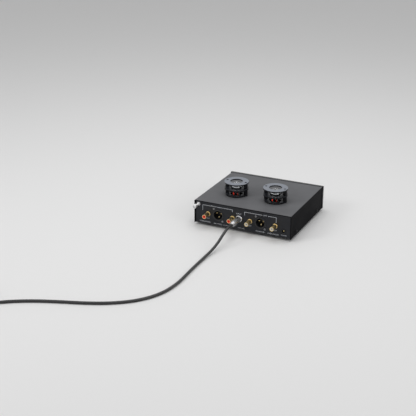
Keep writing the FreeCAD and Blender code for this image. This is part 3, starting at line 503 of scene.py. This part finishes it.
def make_materials():
    """Every finish of the object, by the record's slot names and a few of the scene's own."""
    m = {}
    # The cover's upward faces get a painted sheen: a mid grey in place of the light that its satin
    # top reflects.
    m["satin_black"] = finish("satin_black", (0.005, 0.005, 0.006, 1), (0.008, 0.008, 0.009, 1),
                              (0.34, 0.42), grain=2600.0, spread=18.0, depth=0.000012,
                              edge=0.0006, wear=0.15, painted_sheen_colour=(0.145, 0.147, 0.154, 1),
                              Specular_IOR_Level=0.3, IOR=1.07)
    m["black_steel"] = finish("black_steel", BLACK, SOOT, (0.42, 0.55), grain=1800.0,
                              depth=0.000015, wear=0.25)
    m["black_aluminium"] = finish("black_aluminium", (0.016, 0.016, 0.018, 1), SOOT,
                                  (0.28, 0.40), metallic=0.6, depth=0.000006, edge=0.0005,
                                  wear=0.45, pattern=along((40, 5000, 5000)))
    m["charcoal_panel"] = finish("charcoal_panel", (0.011, 0.012, 0.015, 1),
                                 (0.016, 0.017, 0.021, 1), (0.42, 0.52), grain=2400.0,
                                 depth=0.000014, edge=0.0002, wear=0.2,
                                 Specular_IOR_Level=0.25)
    guard = {"grain": 1900.0, "depth": 0.000008, "worn": (0.16, 0.17, 0.19, 1), "IOR": 1.2}
    # Shaded copy for the lower guard rings and posts: only a faint painted sheen on their upward
    # faces.
    m["guard_metal"] = finish("guard_metal", (0.010, 0.010, 0.012, 1), (0.014, 0.015, 0.017, 1),
                              (0.26, 0.36), wear=0.3, painted_sheen_colour=(0.035, 0.038, 0.045, 1), **guard)
    # Lit copy for the top guard rings: a strong painted sheen on their upward faces.
    m["guard_top"] = finish("guard_top", (0.010, 0.010, 0.012, 1), (0.014, 0.015, 0.017, 1),
                            (0.26, 0.36), wear=0.3, painted_sheen_colour=(0.21, 0.228, 0.265, 1), **guard)
    m["rubber_foot"] = finish("rubber_foot", BLACK, SOOT, (0.65, 0.8), grain=1500.0,
                              depth=0.00003, wear=0.0, Specular_IOR_Level=0.3)
    m["black_screw"] = finish("black_screw", (0.006, 0.006, 0.006, 1), BLACK, (0.3, 0.4),
                              metallic=0.1, grain=2000.0, depth=0.00001, worn=GREY_EDGE,
                              wear=0.25, IOR=1.25)
    m["bright_screw"] = finish("bright_screw", (0.62, 0.62, 0.63, 1), (0.5, 0.5, 0.52, 1),
                               (0.22, 0.32), metallic=1.0, grain=2500.0, depth=0.000006,
                               wear=0.2)
    m["dull_screw"] = finish("dull_screw", (0.16, 0.16, 0.17, 1), (0.22, 0.22, 0.23, 1),
                             (0.3, 0.42), metallic=0.8, grain=2500.0, depth=0.000008,
                             worn=(0.6, 0.6, 0.6, 1), wear=0.6)
    m["brass_part"] = finish("brass_part", (0.62, 0.45, 0.2, 1), (0.5, 0.36, 0.17, 1),
                             (0.25, 0.4), metallic=1.0, depth=0.00001)
    m["green_board"] = finish("green_board", (0.006, 0.05, 0.018, 1), (0.009, 0.075, 0.03, 1),
                              (0.25, 0.35), grain=700.0, spread=160.0, depth=0.00003)
    m["clear_light"] = finish("clear_light", (0.72, 0.78, 0.85, 1), (0.8, 0.85, 0.9, 1),
                              (0.12, 0.2), wear=0.0, depth=0.000004,
                              Transmission_Weight=0.6, Emission_Color=(0.75, 0.88, 1.0, 1),
                              Emission_Strength=0.5)
    m["capacitor_can"] = finish("capacitor_can", (0.01, 0.016, 0.04, 1), (0.014, 0.022, 0.05, 1),
                                (0.2, 0.3), depth=0.00001)
    m["relay_case"] = finish("relay_case", (0.62, 0.62, 0.58, 1), (0.55, 0.55, 0.52, 1),
                             (0.3, 0.4), depth=0.00001)
    m["gold_contact"] = finish("gold_contact", GOLD, (0.76, 0.58, 0.28, 1), (0.26, 0.38),
                               metallic=1.0, grain=2600.0, depth=0.000005, edge=0.0002,
                               worn=(0.9, 0.75, 0.45, 1), wear=0.3)
    m["black_plastic"] = finish("black_plastic", (0.007, 0.007, 0.008, 1), (0.01, 0.01, 0.011, 1),
                                (0.28, 0.42), grain=1600.0, depth=0.00002, wear=0.1,
                                worn=(0.05, 0.05, 0.05, 1))
    m["nickel_silver"] = finish("nickel_silver", (0.66, 0.66, 0.66, 1), (0.58, 0.58, 0.59, 1),
                                (0.18, 0.3), metallic=1.0, grain=2200.0, depth=0.000006,
                                edge=0.0002, worn=(0.85, 0.85, 0.85, 1), wear=0.3)
    m["satin_nickel"] = finish("satin_nickel", (0.70, 0.70, 0.71, 1), (0.60, 0.60, 0.61, 1),
                               (0.26, 0.38), metallic=0.9, grain=2200.0, depth=0.00001,
                               edge=0.0003, worn=(0.95, 0.95, 0.95, 1), wear=0.3)
    m["pot_case"] = finish("pot_case", (0.5, 0.5, 0.5, 1), (0.42, 0.42, 0.43, 1), (0.3, 0.45),
                           metallic=1.0, depth=0.00001)
    m["dial_aluminium"] = finish("dial_aluminium", (0.018, 0.018, 0.020, 1), SOOT, (0.22, 0.34),
                                 metallic=0.7, depth=0.000008, edge=0.0003, wear=0.5,
                                 pattern=about(DIAL_X, 0, CONTROL_HEIGHT, (1, 0, 1), 0.00035))
    m["ceramic"] = finish("ceramic", (0.7, 0.67, 0.6, 1), (0.62, 0.59, 0.53, 1), (0.2, 0.35),
                          grain=1200.0, depth=0.00001, wear=0.0)
    m["plate_metal"] = finish("plate_metal", (0.045, 0.044, 0.043, 1), (0.075, 0.072, 0.07, 1),
                              (0.35, 0.5), metallic=0.6, grain=1800.0, depth=0.00002,
                              worn=(0.3, 0.3, 0.3, 1), wear=0.4)
    m["mica"] = finish("mica", (0.62, 0.58, 0.52, 1), (0.45, 0.42, 0.38, 1), (0.15, 0.3),
                       grain=900.0, spread=300.0, depth=0.00002, wear=0.0)
    m["red_insulator"] = finish("red_insulator", (0.90, 0.022, 0.008, 1), (0.8, 0.018, 0.006, 1),
                                (0.22, 0.34), grain=1800.0, depth=0.00001, wear=0.0)
    m["white_insulator"] = finish("white_insulator", (0.72, 0.72, 0.69, 1), (0.62, 0.62, 0.6, 1),
                                  (0.22, 0.34), grain=1800.0, depth=0.00001, wear=0.0)
    m["cord_rubber"] = finish("cord_rubber", (0.010, 0.010, 0.011, 1), (0.015, 0.015, 0.016, 1),
                              (0.36, 0.5), grain=1400.0, spread=60.0, depth=0.000025, wear=0.0)
    m["white_print"] = finish("white_print", WHITE_PRINT, (0.5, 0.52, 0.56, 1), (0.4, 0.5),
                              grain=3000.0, depth=0.000004, edge=0.00005, wear=0.0)
    m["tube_glass"] = glass_finish()
    m["getter_mirror"] = mirror_finish()
    m["heater_glow"] = glow_finish("heater_glow", 1.9)
    m["heater_ember"] = glow_finish("heater_ember", 0.35)
    return m


def glass_finish():
    """Clear bulb glass, very slightly uneven as drawn glass is."""
    material = bpy.data.materials.new("tube_glass")
    material.use_nodes = True
    tree = material.node_tree
    shader = tree.nodes["Principled BSDF"]
    marks = use(tree, GRAIN, Scale=90.0, Spread=60.0)
    bump = add(tree, "Bump", [("Height", marks.outputs["Height"]), ("Strength", 0.3),
                              ("Distance", 0.0001)])
    rubbed = use(tree, SMUDGE, Low=0.0, High=0.04, Spread=120.0)
    tree.links.new(bump.outputs["Normal"], shader.inputs["Normal"])
    tree.links.new(rubbed.outputs["Roughness"], shader.inputs["Roughness"])
    shader.inputs["Base Color"].default_value = (0.95, 0.97, 0.97, 1)
    shader.inputs["IOR"].default_value = 1.48
    shader.inputs["Transmission Weight"].default_value = 1.0
    return material


def mirror_finish():
    """Silver getter film: bright over the dome, brown and then thin along its lower rim."""
    material = bpy.data.materials.new("getter_mirror")
    material.use_nodes = True
    tree = material.node_tree
    shader = tree.nodes["Principled BSDF"]
    place = add(tree, "TexCoord").outputs["Object"]
    parts = add(tree, "SeparateXYZ", [("Vector", place)])
    marks = use(tree, GRAIN, Scale=500.0, Spread=140.0)
    ragged = add(tree, "Math", [(0, marks.outputs["Mask"]), (1, 0.006), (2, parts.outputs["Z"])],
                 operation="MULTIPLY_ADD")
    ramp = add(tree, "ValToRGB")
    low = (GLASS_BOTTOM + GLASS_HEIGHT - FILM_HEIGHT) * MM
    span = add(tree, "MapRange", [("Value", ragged.outputs[0]), ("From Min", low + 0.002),
                                  ("From Max", low + 0.008)])
    tree.links.new(span.outputs["Result"], ramp.inputs["Fac"])
    stops = ramp.color_ramp.elements
    stops[0].position, stops[0].color = 0.0, (0.02, 0.014, 0.01, 1)
    stops[1].position, stops[1].color = 0.8, (0.34, 0.34, 0.355, 1)
    middle = stops.new(0.35)
    middle.color = (0.09, 0.07, 0.06, 1)
    tree.links.new(ramp.outputs["Color"], shader.inputs["Base Color"])
    rubbed = use(tree, SMUDGE, Low=0.08, High=0.22, Spread=200.0)
    tree.links.new(rubbed.outputs["Roughness"], shader.inputs["Roughness"])
    shader.inputs["Metallic"].default_value = 1.0
    return material


def glow_finish(name, strength):
    """Heated cathode sleeve, dull red with brighter patches."""
    material = bpy.data.materials.new(name)
    material.use_nodes = True
    tree = material.node_tree
    shader = tree.nodes["Principled BSDF"]
    marks = use(tree, GRAIN, Scale=1500.0, Spread=400.0)
    ramp = add(tree, "ValToRGB", [("Fac", marks.outputs["Mask"])])
    stops = ramp.color_ramp.elements
    stops[0].position, stops[0].color = 0.3, (0.6, 0.01, 0.008, 1)
    stops[1].position, stops[1].color = 0.7, (0.9, 0.05, 0.02, 1)
    tree.links.new(ramp.outputs["Color"], shader.inputs["Emission Color"])
    shader.inputs["Emission Strength"].default_value = strength
    shader.inputs["Base Color"].default_value = (0.5, 0.08, 0.04, 1)
    return material


# The lead

def coil_points():
    """Points of the put-away turns: radius = inner + pitch * |turns - low turns|, clockwise."""
    before, end = (np.array(p) for p in CORD_ROUTE[-2:])
    heading = (end - before) / np.linalg.norm(end - before)
    to_centre = np.array([heading[1], -heading[0], 0.0])
    centre = end + to_centre * (COIL_INNER_RADIUS + COIL_PITCH * COIL_LOW_TURNS)
    start_angle = math.atan2(-to_centre[1], -to_centre[0])
    turns = np.arange(1, round(COIL_TURNS * COIL_POINTS_PER_TURN) + 1) / COIL_POINTS_PER_TURN
    away = turns - COIL_LOW_TURNS
    grown = 1 / math.cos(math.pi / COIL_POINTS_PER_TURN) ** 0.5
    radius = (COIL_INNER_RADIUS + COIL_PITCH * np.abs(away)) * grown
    climb = np.clip(away + 0.25, 0.0, 0.5) * 2
    z = CORD_RADIUS + COIL_PITCH * (1 - np.cos(math.pi * climb)) / 2
    angle = start_angle - TURN * turns
    places = np.stack([centre[0] + radius * np.cos(angle), centre[1] + radius * np.sin(angle),
                       z], 1)
    return places, np.array([math.sin(angle[-1]), -math.cos(angle[-1]), 0.0])


def cord_places():
    """All control points of the lead, from the boot to the far plug."""
    turns, forward = coil_points()
    right = np.array([forward[1], -forward[0], 0.0])
    start = turns[-1]
    tail = []
    for ahead, aside, down in TAIL_RUN:
        spot = start + forward * ahead + right * aside
        spot[2] = start[2] + (PLUG_RADIUS - start[2]) * down
        tail.append(spot)
    return [np.array(p) for p in CORD_ROUTE] + list(turns) + tail


def make_lead(material):
    """The lead as one round smooth line through its control points."""
    curve = bpy.data.curves.new("lead", "CURVE")
    curve.dimensions = "3D"
    curve.bevel_depth = CORD_RADIUS
    curve.bevel_resolution = 5
    curve.resolution_u = 6
    curve.use_fill_caps = True
    places = cord_places()
    spline = curve.splines.new("NURBS")
    spline.points.add(len(places) - 1)
    spline.points.foreach_set("co", np.hstack([places, np.ones((len(places), 1))]).ravel())
    spline.order_u = 3
    spline.use_endpoint_u = True
    curve.materials.append(material)
    lead = bpy.data.objects.new("lead", curve)
    bpy.context.scene.collection.objects.link(lead)
    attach(lead, "case")
    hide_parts("cord", "cord_coil", "cord_tail")
    return lead


def boot_form():
    """Tapered strain relief with five raised ribs: radius = taper + rib * bump(height)."""
    height = np.linspace(0, BOOT_LENGTH, 61)
    depth = 0.34
    taper = 3.9 - 0.75 * height / BOOT_LENGTH
    rib = depth * (np.cos(height / BOOT_LENGTH * TURN * 5) > 0.1) * (height > 1.0)
    radius = taper - depth + np.where(height > 1.0, rib, depth)
    profile = [(0.0, 0.0)] + list(zip(radius, height)) + [(0.0, BOOT_LENGTH)]
    return turned(profile, 40)


def plug_form():
    """Shell of the far plug about +Z: nose, barrel with one groove, and tapered neck."""
    profile = [(0, 0), (3.9, 0), (4.55, 0.5), (4.55, 9.0), (5.3, 9.0), (5.5, 9.3), (5.5, 32.2),
               (5.1, 32.3), (5.1, 33.4), (5.5, 33.5), (5.5, 36.0), (4.0, FAR_SHELL_LENGTH),
               (0, FAR_SHELL_LENGTH)]
    return turned(profile, 48)


def make_plugs(m):
    """Boots of both plugs, and the far plug's shell and latch in place of its solid."""
    boot = boot_form()
    near = placed(boot, (INPUT_X, NEAR_BOOT_Y, INPUT_HEIGHT), (0, 1, 0))
    made = [make_piece("near_boot", [near], "case", m["cord_rubber"],
                       ["plug_boot"], 50)]
    places = cord_places()
    end = np.array(places[-1]) / MM
    before = np.array(places[-2]) / MM
    axis = (before - end) / np.linalg.norm(before - end)
    nose = end - axis * FAR_PLUG_LENGTH
    side = np.cross(axis, (0, 0, 1))
    shell = placed(plug_form(), nose, axis, side)
    made.append(make_piece("far_plug_shell", [shell], "case", m["satin_nickel"],
                           ["far_plug"]))
    latch = box((-1.8, 3.9, 12.0), (1.8, 6.4, 19.0))
    made.append(make_piece("far_plug_latch", [placed(latch, nose, axis, -side)], "case",
                           m["black_plastic"]))
    far = placed(boot, nose + axis * FAR_SHELL_LENGTH, axis, side)
    made.append(make_piece("far_boot", [far], "case", m["cord_rubber"], (), 50))
    return made


# Tubes

def bulb_profile(shrink, bottom, steps=16):
    """Bulb outline: straight side, quarter-round shoulder and flat crown, shrunk evenly."""
    bend = 7.5 - shrink
    radius = GLASS_RADIUS - shrink
    crown = GLASS_HEIGHT - CROWN_DROP - shrink
    angle = np.linspace(0, math.pi / 2, steps)
    arc = np.stack([radius - bend + bend * np.cos(angle), crown - bend + bend * np.sin(angle)], 1)
    foot = [(0, bottom), (radius - 0.6, bottom), (radius, bottom + 0.6)]
    return foot + arc.tolist() + [(0, crown)]


def bulb_forms(place):
    """Outer wall with its drawn tip, and the inner wall 1 mm inside it."""
    crown = GLASS_HEIGHT - CROWN_DROP
    tip = [(2.4, crown), (1.9, crown + 0.5), (1.35, crown + 1.7), (0.55, crown + 2.7),
           (0, crown + CROWN_DROP)]
    outer = bulb_profile(0.0, 0.0)[:-1] + tip
    inner = bulb_profile(1.0, 3.0)[::-1]
    return [placed(turned(outer, 64), place), placed(turned(inner, 64), place)]


def film_form():
    """Mirror film under the dome: a closed skin between 1.05 and 1.3 mm inside the glass."""
    low = GLASS_HEIGHT - FILM_HEIGHT
    walls = []
    for shrink in (1.05, 1.3):
        walls.append([p for p in bulb_profile(shrink, low) if p[1] > low + 0.7])
    rim = (GLASS_RADIUS - 1.3, low)
    return turned([rim, (GLASS_RADIUS - 1.05, low)] + walls[0] + walls[1][::-1] + [rim], 64)


def mica_teeth(angle, height, radius):
    """Edge of a mica disc: the radius drops by 4.5 hundredths between its teeth."""
    return 1 - 0.045 * (np.cos(angle * MICA_TEETH) > 0.2) * (radius > 5)


def frame_forms(x, y, z):
    """Nine pins on their circle, and two anode boxes with two rods each."""
    forms = []
    pin = turned([(0, -6.6), (0.35, -6.5), (0.5, -6.1), (0.5, 9.6), (0, 9.6)], 12)
    rod = turned([(0, -1.2), (0.55, -1.2), (0.55, 22.5), (0, 22.5)], 12)
    for a in (np.arange(PIN_COUNT) + 1) / (PIN_COUNT + 1) * TURN:
        forms.append(placed(pin, (x + PIN_CIRCLE * math.sin(a), y - PIN_CIRCLE * math.cos(a), z)))
    for reach in (-ANODE_REACH, ANODE_REACH):
        forms.append(placed(anode_form(), (x + reach, y, z + ANODE_BOTTOM)))
        for end in (-ROD_REACH, ROD_REACH):
            forms.append(placed(rod, (x + reach, y + end, z + ROD_BOTTOM)))
    return forms


def make_tube(side, m):
    """Bulb, mirror film and frame of one small signal tube, all riding on its body."""
    x, y, z = place = (TUBE_X[side], TUBE_Y, GLASS_BOTTOM)
    body = side + "_tube"
    make_piece(side + "_bulb", bulb_forms(place), body, m["tube_glass"],
               [side + "_tube_glass"], 60)
    make_piece(side + "_mirror", [placed(film_form(), place)], body, m["getter_mirror"],
               [side + "_tube_getter"], 60)
    make_piece(side + "_anodes", frame_forms(x, y, z), body, m["plate_metal"],
               [side + "_tube_core"], 40)
    disc = turned([(0, 0), (MICA_RADIUS, 0), (MICA_RADIUS, 0.45), (0, 0.45)], 144, mica_teeth)
    discs = [placed(disc, (x, y, z + height)) for height in MICA_HEIGHTS]
    make_piece(side + "_mica_discs", discs, body, m["mica"])
    ring = grid(ring_points(GETTER_RADIUS, 0.45), True, True)
    stem = turned([(0, 0), (0.35, 0), (0.35, GETTER_STEM), (0, GETTER_STEM)], 10)
    stem_place = (x, y - GETTER_RADIUS, z + GETTER_HEIGHT - GETTER_STEM)
    make_piece(side + "_getter_ring", [placed(ring, (x, y, z + GETTER_HEIGHT)),
                                       placed(stem, stem_place)],
               body, m["bright_screw"])
    glow = turned([(0, 0), (1.0, 0.1), (1.15, 0.6), (1.15, 5.4), (1.0, 5.9), (0, 6.0)], 16)
    caps = turned([(0, 0), (0.8, 0), (0.8, 1.6), (0.4, 1.9), (0, 1.9)], 16)
    for reach, heat in ((ANODE_REACH, "heater_glow"), (-ANODE_REACH, "heater_ember")):
        spots = [placed(glow, (x + reach, y + end, z + CATHODE_BOTTOM))
                 for end in (-CATHODE_REACH, CATHODE_REACH)]
        spots.append(placed(caps, (x + reach, y, z + CATHODE_TOP)))
        make_piece(side + "_" + heat, spots, body, m[heat])


def ring_points(radius, wire, around=48, across=10):
    """Torus: a small circle of radius wire carried round a circle of the given radius."""
    a, b = np.meshgrid(np.arange(around) / around * TURN, np.arange(across) / across * TURN,
                       indexing="ij")
    r = radius + wire * np.cos(b)
    return np.stack([r * np.cos(a), r * np.sin(a), -wire * np.sin(b)], -1)


def anode_form():
    """Anode box: a superellipse carried up, with three pressed beads round it and closed ends."""
    height = np.linspace(0, ANODE_HEIGHT, 60)
    angle = np.arange(64) / 64 * TURN
    power = 2 / 5
    x = ANODE_HALF[0] * np.sign(np.cos(angle)) * np.abs(np.cos(angle)) ** power
    y = ANODE_HALF[1] * np.sign(np.sin(angle)) * np.abs(np.sin(angle)) ** power
    bead = 1 - 0.05 * np.exp(-((height[:, None] - np.array(BEAD_HEIGHTS)) / 0.5) ** 2).sum(1)
    wall = np.stack([bead[:, None] * x, bead[:, None] * y, np.repeat(height[:, None], 64, 1)], -1)
    low = np.repeat(np.array([[[0, 0, 0.0]]]), 64, 1)
    high = np.repeat(np.array([[[0, 0, ANODE_HEIGHT]]]), 64, 1)
    return grid(np.concatenate([low, wall, high]), close_v=True)


# Rear panel

def make_rear_printing(m):
    """Channel brackets and plain words on the rear panel, as a thin raised print."""
    face, out = PANEL_Y, PRINT_THICKNESS
    lines = [([(85.4, 33.0), (85.4, 44.5), (67.6, 44.5)], 0.75),
             ([(55.0, 44.5), (20.9, 44.5), (20.9, 40.0)], 0.75),
             ([(-5.2, 38.0), (-5.2, 44.5), (-42.4, 44.5)], 0.75),
             ([(-54.2, 44.5), (-71.4, 44.5), (-71.4, 33.5)], 0.75),
             ([(40.5, 9.0), (27.0, 9.0), (27.0, 12.0)], 0.5),
             ([(12.8, 12.6), (12.8, 17.6)], 0.5)]
    strokes = [ribbon(points, width, face, out) for points, width in lines]
    words = [("RIGHT", 3.6, (61.3, 44.6)), ("LEFT", 3.6, (-48.3, 44.6)),
             ("INPUT", 3.8, (7.2, 38.2)), ("OUT", 3.2, (73.7, 17.6)), ("OUT", 3.2, (20.7, 17.6)),
             ("OUT", 3.2, (-16.5, 17.6)), ("OUT", 3.2, (-69.5, 17.6)),
             ("UNBALANCED", 3.4, (80.0, 9.6)), ("BALANCED", 3.4, (51.6, 9.0)),
             ("BALANCED", 3.4, (-38.6, 9.4)), ("MM / MC", 3.4, (1.5, 9.0)),
             ("UNBALANCED", 3.4, (-65.5, 9.4)), ("POWER", 3.2, (-88.0, 10.2))]
    strokes += [lettering(t, s, p, face, out, 1) for t, s, p in words]
    make_piece("rear_printing", strokes, "case", m["white_print"])


def screw_form(place, axis, head=2.8, rise=1.6, shank=6.0):
    """Button-head screw with a hexagon socket: rounded head, flat recess, and its shank."""
    outer = [(0, -shank), (1.3, -shank), (1.5, -shank + 0.3), (1.5, 0), (head, 0),
             (head, rise * 0.35), (head * 0.9, rise * 0.75), (head * 0.68, rise), (1.25, rise),
             (1.15, rise * 0.4), (0, rise * 0.4)]

    def hexagon(angle, height, radius):
        """In the recess, the distance to a flat over the cosine of the turn away from it."""
        flat = 0.9 / np.cos((angle + math.pi / 6) % (math.pi / 3) - math.pi / 6)
        return np.where((height > rise * 0.35) & (radius < 1.3), flat, 1.0)

    return placed(turned(outer, 48, hexagon), place, axis)


def make_fasteners(m):
    """Detailed screws for the solid's plain ones: black on the case, dull metal at the cups."""
    foot_x = HALF_WIDTH - FOOT_INSET[0]
    foot_ys = (COVER_FRONT_Y + FOOT_INSET[1], REAR_EDGE - FOOT_INSET[1])
    cover_ys = (COVER_FRONT_Y + COVER_SCREW_INSET, REAR_EDGE - COVER_SCREW_INSET)
    panel_x = HALF_WIDTH - PANEL_SCREW_INSET
    panel_y = PANEL_INNER_Y - PANEL_SCREW_DEPTH
    down, up, back = (0, 0, -1), (0, 0, 1), (0, 1, 0)
    black = []
    for side in (-1, 1):
        for y in foot_ys:
            black.append(screw_form((side * foot_x, y, 2.6), down, rise=1.2))
        for y in cover_ys:
            black.append(screw_form((side * HALF_WIDTH, y, TRAY_TOP + COVER_SCREW_HEIGHT),
                                    (side, 0, 0), shank=2.9))
        black.append(screw_form((side * panel_x, panel_y, FOOT_HEIGHT), down, shank=2.7))
        for y in BOARD_SCREW_Y:
            black.append(screw_form((side * BOARD_SCREW_X, y, BOARD_TOP), up, shank=4.6))
        for z in FRONT_SCREW_HEIGHTS:
            black.append(screw_form((side * FRONT_SCREW_X, FRONT_SCREW_Y, z), back))
    make_piece("case_fasteners", black, "case", m["black_screw"],
               ["case_screws"], 30)
    bright = []
    for x in CUP_X.values():
        for end in (-1, 1):
            place = (x + end * CUP_SCREW_OFFSET[0], PANEL_Y, CUP_HEIGHT + end * CUP_SCREW_OFFSET[1])
            bright.append(screw_form(place, back, head=2.3, rise=1.0, shank=3.5))
    make_piece("socket_fasteners", bright, "case", m["dull_screw"], (), 30)


def knurl(angle, height, radius):
    """Thirty ribs along the thumb nut's rim: the radius dips as 1 - cos between them."""
    rim = (height > 0.9) * (height < 6.1) * (radius > 3.6)
    return 1 - 0.035 * (0.5 - 0.5 * np.cos(angle * 30)) * rim


def make_ground_terminal(m):
    """Knurled thumb nut, and a stud whose radius falls and rises once in each pitch."""
    body = [(2.05, 7.0), (2.05, 0.0), (3.2, 0.0), (3.5, 0.2), (3.9, 0.8), (3.9, 1.0), (3.9, 2.8),
            (3.6, 3.0), (3.6, 3.4), (3.9, 3.6), (3.9, 6.0), (3.9, 6.2), (3.5, 6.8), (3.2, 7.0),
            (2.05, 7.0)]
    make_piece("knurled_nut", [placed(turned(body, 180, knurl),
                                      (GROUND_X, NUT_FACE_Y, GROUND_HEIGHT), (0, 1, 0))],
               "ground_nut", m["nickel_silver"], ["ground_thumb_nut"], 40)
    height = np.linspace(0, STUD_LENGTH, 420)
    steps = 24
    angle = np.arange(steps) / steps * TURN
    phase = (height[:, None] / THREAD_PITCH - angle[None, :] / TURN) % 1.0
    radius = 2.0 - 0.42 * np.abs(phase - 0.5) * 1.4
    tip = np.clip((STUD_LENGTH - height) / 0.8, 0.55, 1)[:, None]
    radius = radius * tip
    rows = np.repeat(height[:, None], steps, 1)
    wall = np.stack([radius * np.cos(angle), radius * np.sin(angle), rows], -1)
    ends = [np.repeat(np.array([[[0, 0, h]]]), steps, 1) for h in (0.0, STUD_LENGTH)]
    form = grid(np.concatenate([ends[0], wall, ends[1]]), close_v=True)
    make_piece("threaded_stud", [placed(form, (GROUND_X, STUD_BACK_Y, GROUND_HEIGHT), (0, 1, 0))],
               "case", m["nickel_silver"], ["ground_post"], 60)


# Front

def flutes(angle, height, radius):
    """Forty grooves along the dial's side: the radius dips as 1 - cos between them."""
    side = (height > 4.6) * (height < 12.0) * (radius > 12.0)
    return 1 - 0.028 * (0.5 - 0.5 * np.cos(angle * 40)) * side


def make_front(m):
    """Fluted dial with its pointer, the dial's scale with numbers, and plain words."""
    knob = [(0, 9.8), (3.01, 9.8), (3.01, 4.0), (7.5, 4.0), (7.5, 0.0), (13.3, 0.0), (13.5, 0.2),
            (13.5, 2.0), (12.5, 2.8), (12.5, 4.5), (12.5, 4.7), (12.5, 11.9), (12.5, 12.1),
            (12.4, 12.5), (11.9, 13.0), (10.6, 13.0), (10.2, 12.7), (0, 12.5)]
    place = (DIAL_X, FRONT_Y - DIAL_GAP, CONTROL_HEIGHT)
    make_piece("fluted_dial", [placed(turned(knob, 320, flutes), place, (0, -1, 0))], "dial",
               m["dial_aluminium"], ["loading_dial"], 40)
    left, right = DIAL_X - 0.5, DIAL_X + 0.5
    pointer = [box((left, FRONT_Y - 13.45, CONTROL_HEIGHT + 4.5),
                   (right, FRONT_Y - 13.25, CONTROL_HEIGHT + 9.9)),
               box((left, FRONT_Y - 12.4, CONTROL_HEIGHT + 12.35),
                   (right, FRONT_Y - 3.8, CONTROL_HEIGHT + 12.62))]
    make_piece("dial_pointer", pointer, "dial", m["white_print"])
    marks = []
    centre = np.array([DIAL_X, CONTROL_HEIGHT])
    for i in range(SCALE_MARKS):
        a = math.radians(SCALE_START + SCALE_STEP * i)
        out = np.array([math.sin(a), math.cos(a)])
        marks.append(bar(centre + out * 15.0, centre + out * 16.8, 0.4, FRONT_Y, PRINT_THICKNESS))
        marks.append(lettering(str(i), 2.8, centre + out * 19.4, FRONT_Y, PRINT_THICKNESS, -1))
    for text, x in BUTTONS.items():
        marks.append(lettering(text, 2.8, (x, CONTROL_HEIGHT - 10.0), FRONT_Y, PRINT_THICKNESS, -1))
    marks.append(lettering("LOAD", 2.8, (DIAL_X, 7.4), FRONT_Y, PRINT_THICKNESS, -1))
    make_piece("front_printing", marks, "case", m["white_print"])


# Stage

def make_stage():
    """Plain pale floor and a pale surround, soft lamps at a plain level, and the camera."""
    floor_mesh = bpy.data.meshes.new("floor")
    reach = 12.0
    floor_mesh.from_pydata([(-reach, -reach, 0), (reach, -reach, 0), (reach, reach, 0),
                            (-reach, reach, 0)], [], [(0, 1, 2, 3)])
    floor = bpy.data.objects.new("floor", floor_mesh)
    bpy.context.scene.collection.objects.link(floor)
    material = bpy.data.materials.new("pale_floor")
    material.use_nodes = True
    shader = material.node_tree.nodes["Principled BSDF"]
    shader.inputs["Base Color"].default_value = (0.80, 0.80, 0.80, 1)
    shader.inputs["Roughness"].default_value = 0.6
    shader.inputs["Specular IOR Level"].default_value = 0.2
    floor_mesh.materials.append(material)
    world = bpy.data.worlds.new("surround")
    bpy.context.scene.world = world
    world.use_nodes = True
    tree = world.node_tree
    tree.nodes["Background"].inputs["Strength"].default_value = 0.45
    tree.nodes["Background"].inputs["Color"].default_value = (1, 1, 1, 1)
    bright = add(tree, "Background", [("Color", (1, 1, 1, 1)), ("Strength", 1.0)])
    path = add(tree, "LightPath")
    seen = add(tree, "Math", [(0, path.outputs["Is Camera Ray"]),
                              (1, path.outputs["Is Glossy Ray"])], operation="MAXIMUM")
    seen = add(tree, "Math", [(0, seen.outputs[0]),
                              (1, path.outputs["Is Transmission Ray"])], operation="MAXIMUM")
    mix = add(tree, "MixShader", [("Fac", seen.outputs[0])])
    tree.links.new(tree.nodes["Background"].outputs[0], mix.inputs[1])
    tree.links.new(bright.outputs[0], mix.inputs[2])
    tree.links.new(mix.outputs[0], tree.nodes["World Output"].inputs["Surface"])
    lamps = [("overhead", (0.0, -0.1, 1.5), 1.2, 9.0), ("key", (1.1, 1.3, 1.2), 0.8, 8.0),
             ("fill", (-1.6, 0.6, 0.9), 1.0, 4.0)]
    for name, place, size, power in lamps:
        data = bpy.data.lights.new(name, "AREA")
        data.shape = "DISK"
        data.size = size
        data.energy = power
        lamp = bpy.data.objects.new(name, data)
        lamp.location = place
        aim = Vector((0.0, 0.0, 0.04)) - Vector(place)
        lamp.rotation_euler = aim.to_track_quat("-Z", "Y").to_euler()
        bpy.context.scene.collection.objects.link(lamp)
    data = bpy.data.cameras.new("camera")
    data.sensor_width = SENSOR
    data.lens = CAMERA_LENS
    data.clip_end = 50
    camera = bpy.data.objects.new("camera", data)
    camera.location = CAMERA_PLACE
    camera.rotation_euler = [math.radians(a) for a in CAMERA_TURN]
    bpy.context.scene.collection.objects.link(camera)
    bpy.context.scene.camera = camera


def dress_nodes(m):
    """The finish of each solid that stays, from the slot that the record gives it."""
    # The top guard rings take the lit copy, whose upward faces carry a painted sheen.
    own = {"plug_shell": m["satin_nickel"], "left_guard_top_ring": m["guard_top"],
           "right_guard_top_ring": m["guard_top"]}
    for part in frame["record"]["subparts"]:
        node = nodes[part["node"]]
        material = own.get(part["node"], m[part["material_slot"]])
        if not node.material_slots:
            node.data.materials.append(material)
        for holder in node.material_slots:
            holder.material = material


def main():
    """Finishes first, then every piece, and last the floor, the lamps and the camera."""
    m = make_materials()
    dress_nodes(m)
    far_pieces = make_plugs(m)
    make_lead(m["cord_rubber"])
    for side in TUBE_X:
        make_tube(side, m)
    make_rear_printing(m)
    make_fasteners(m)
    make_ground_terminal(m)
    make_front(m)
    make_stage()
    bpy.context.scene.view_settings.view_transform = "Standard"


main()
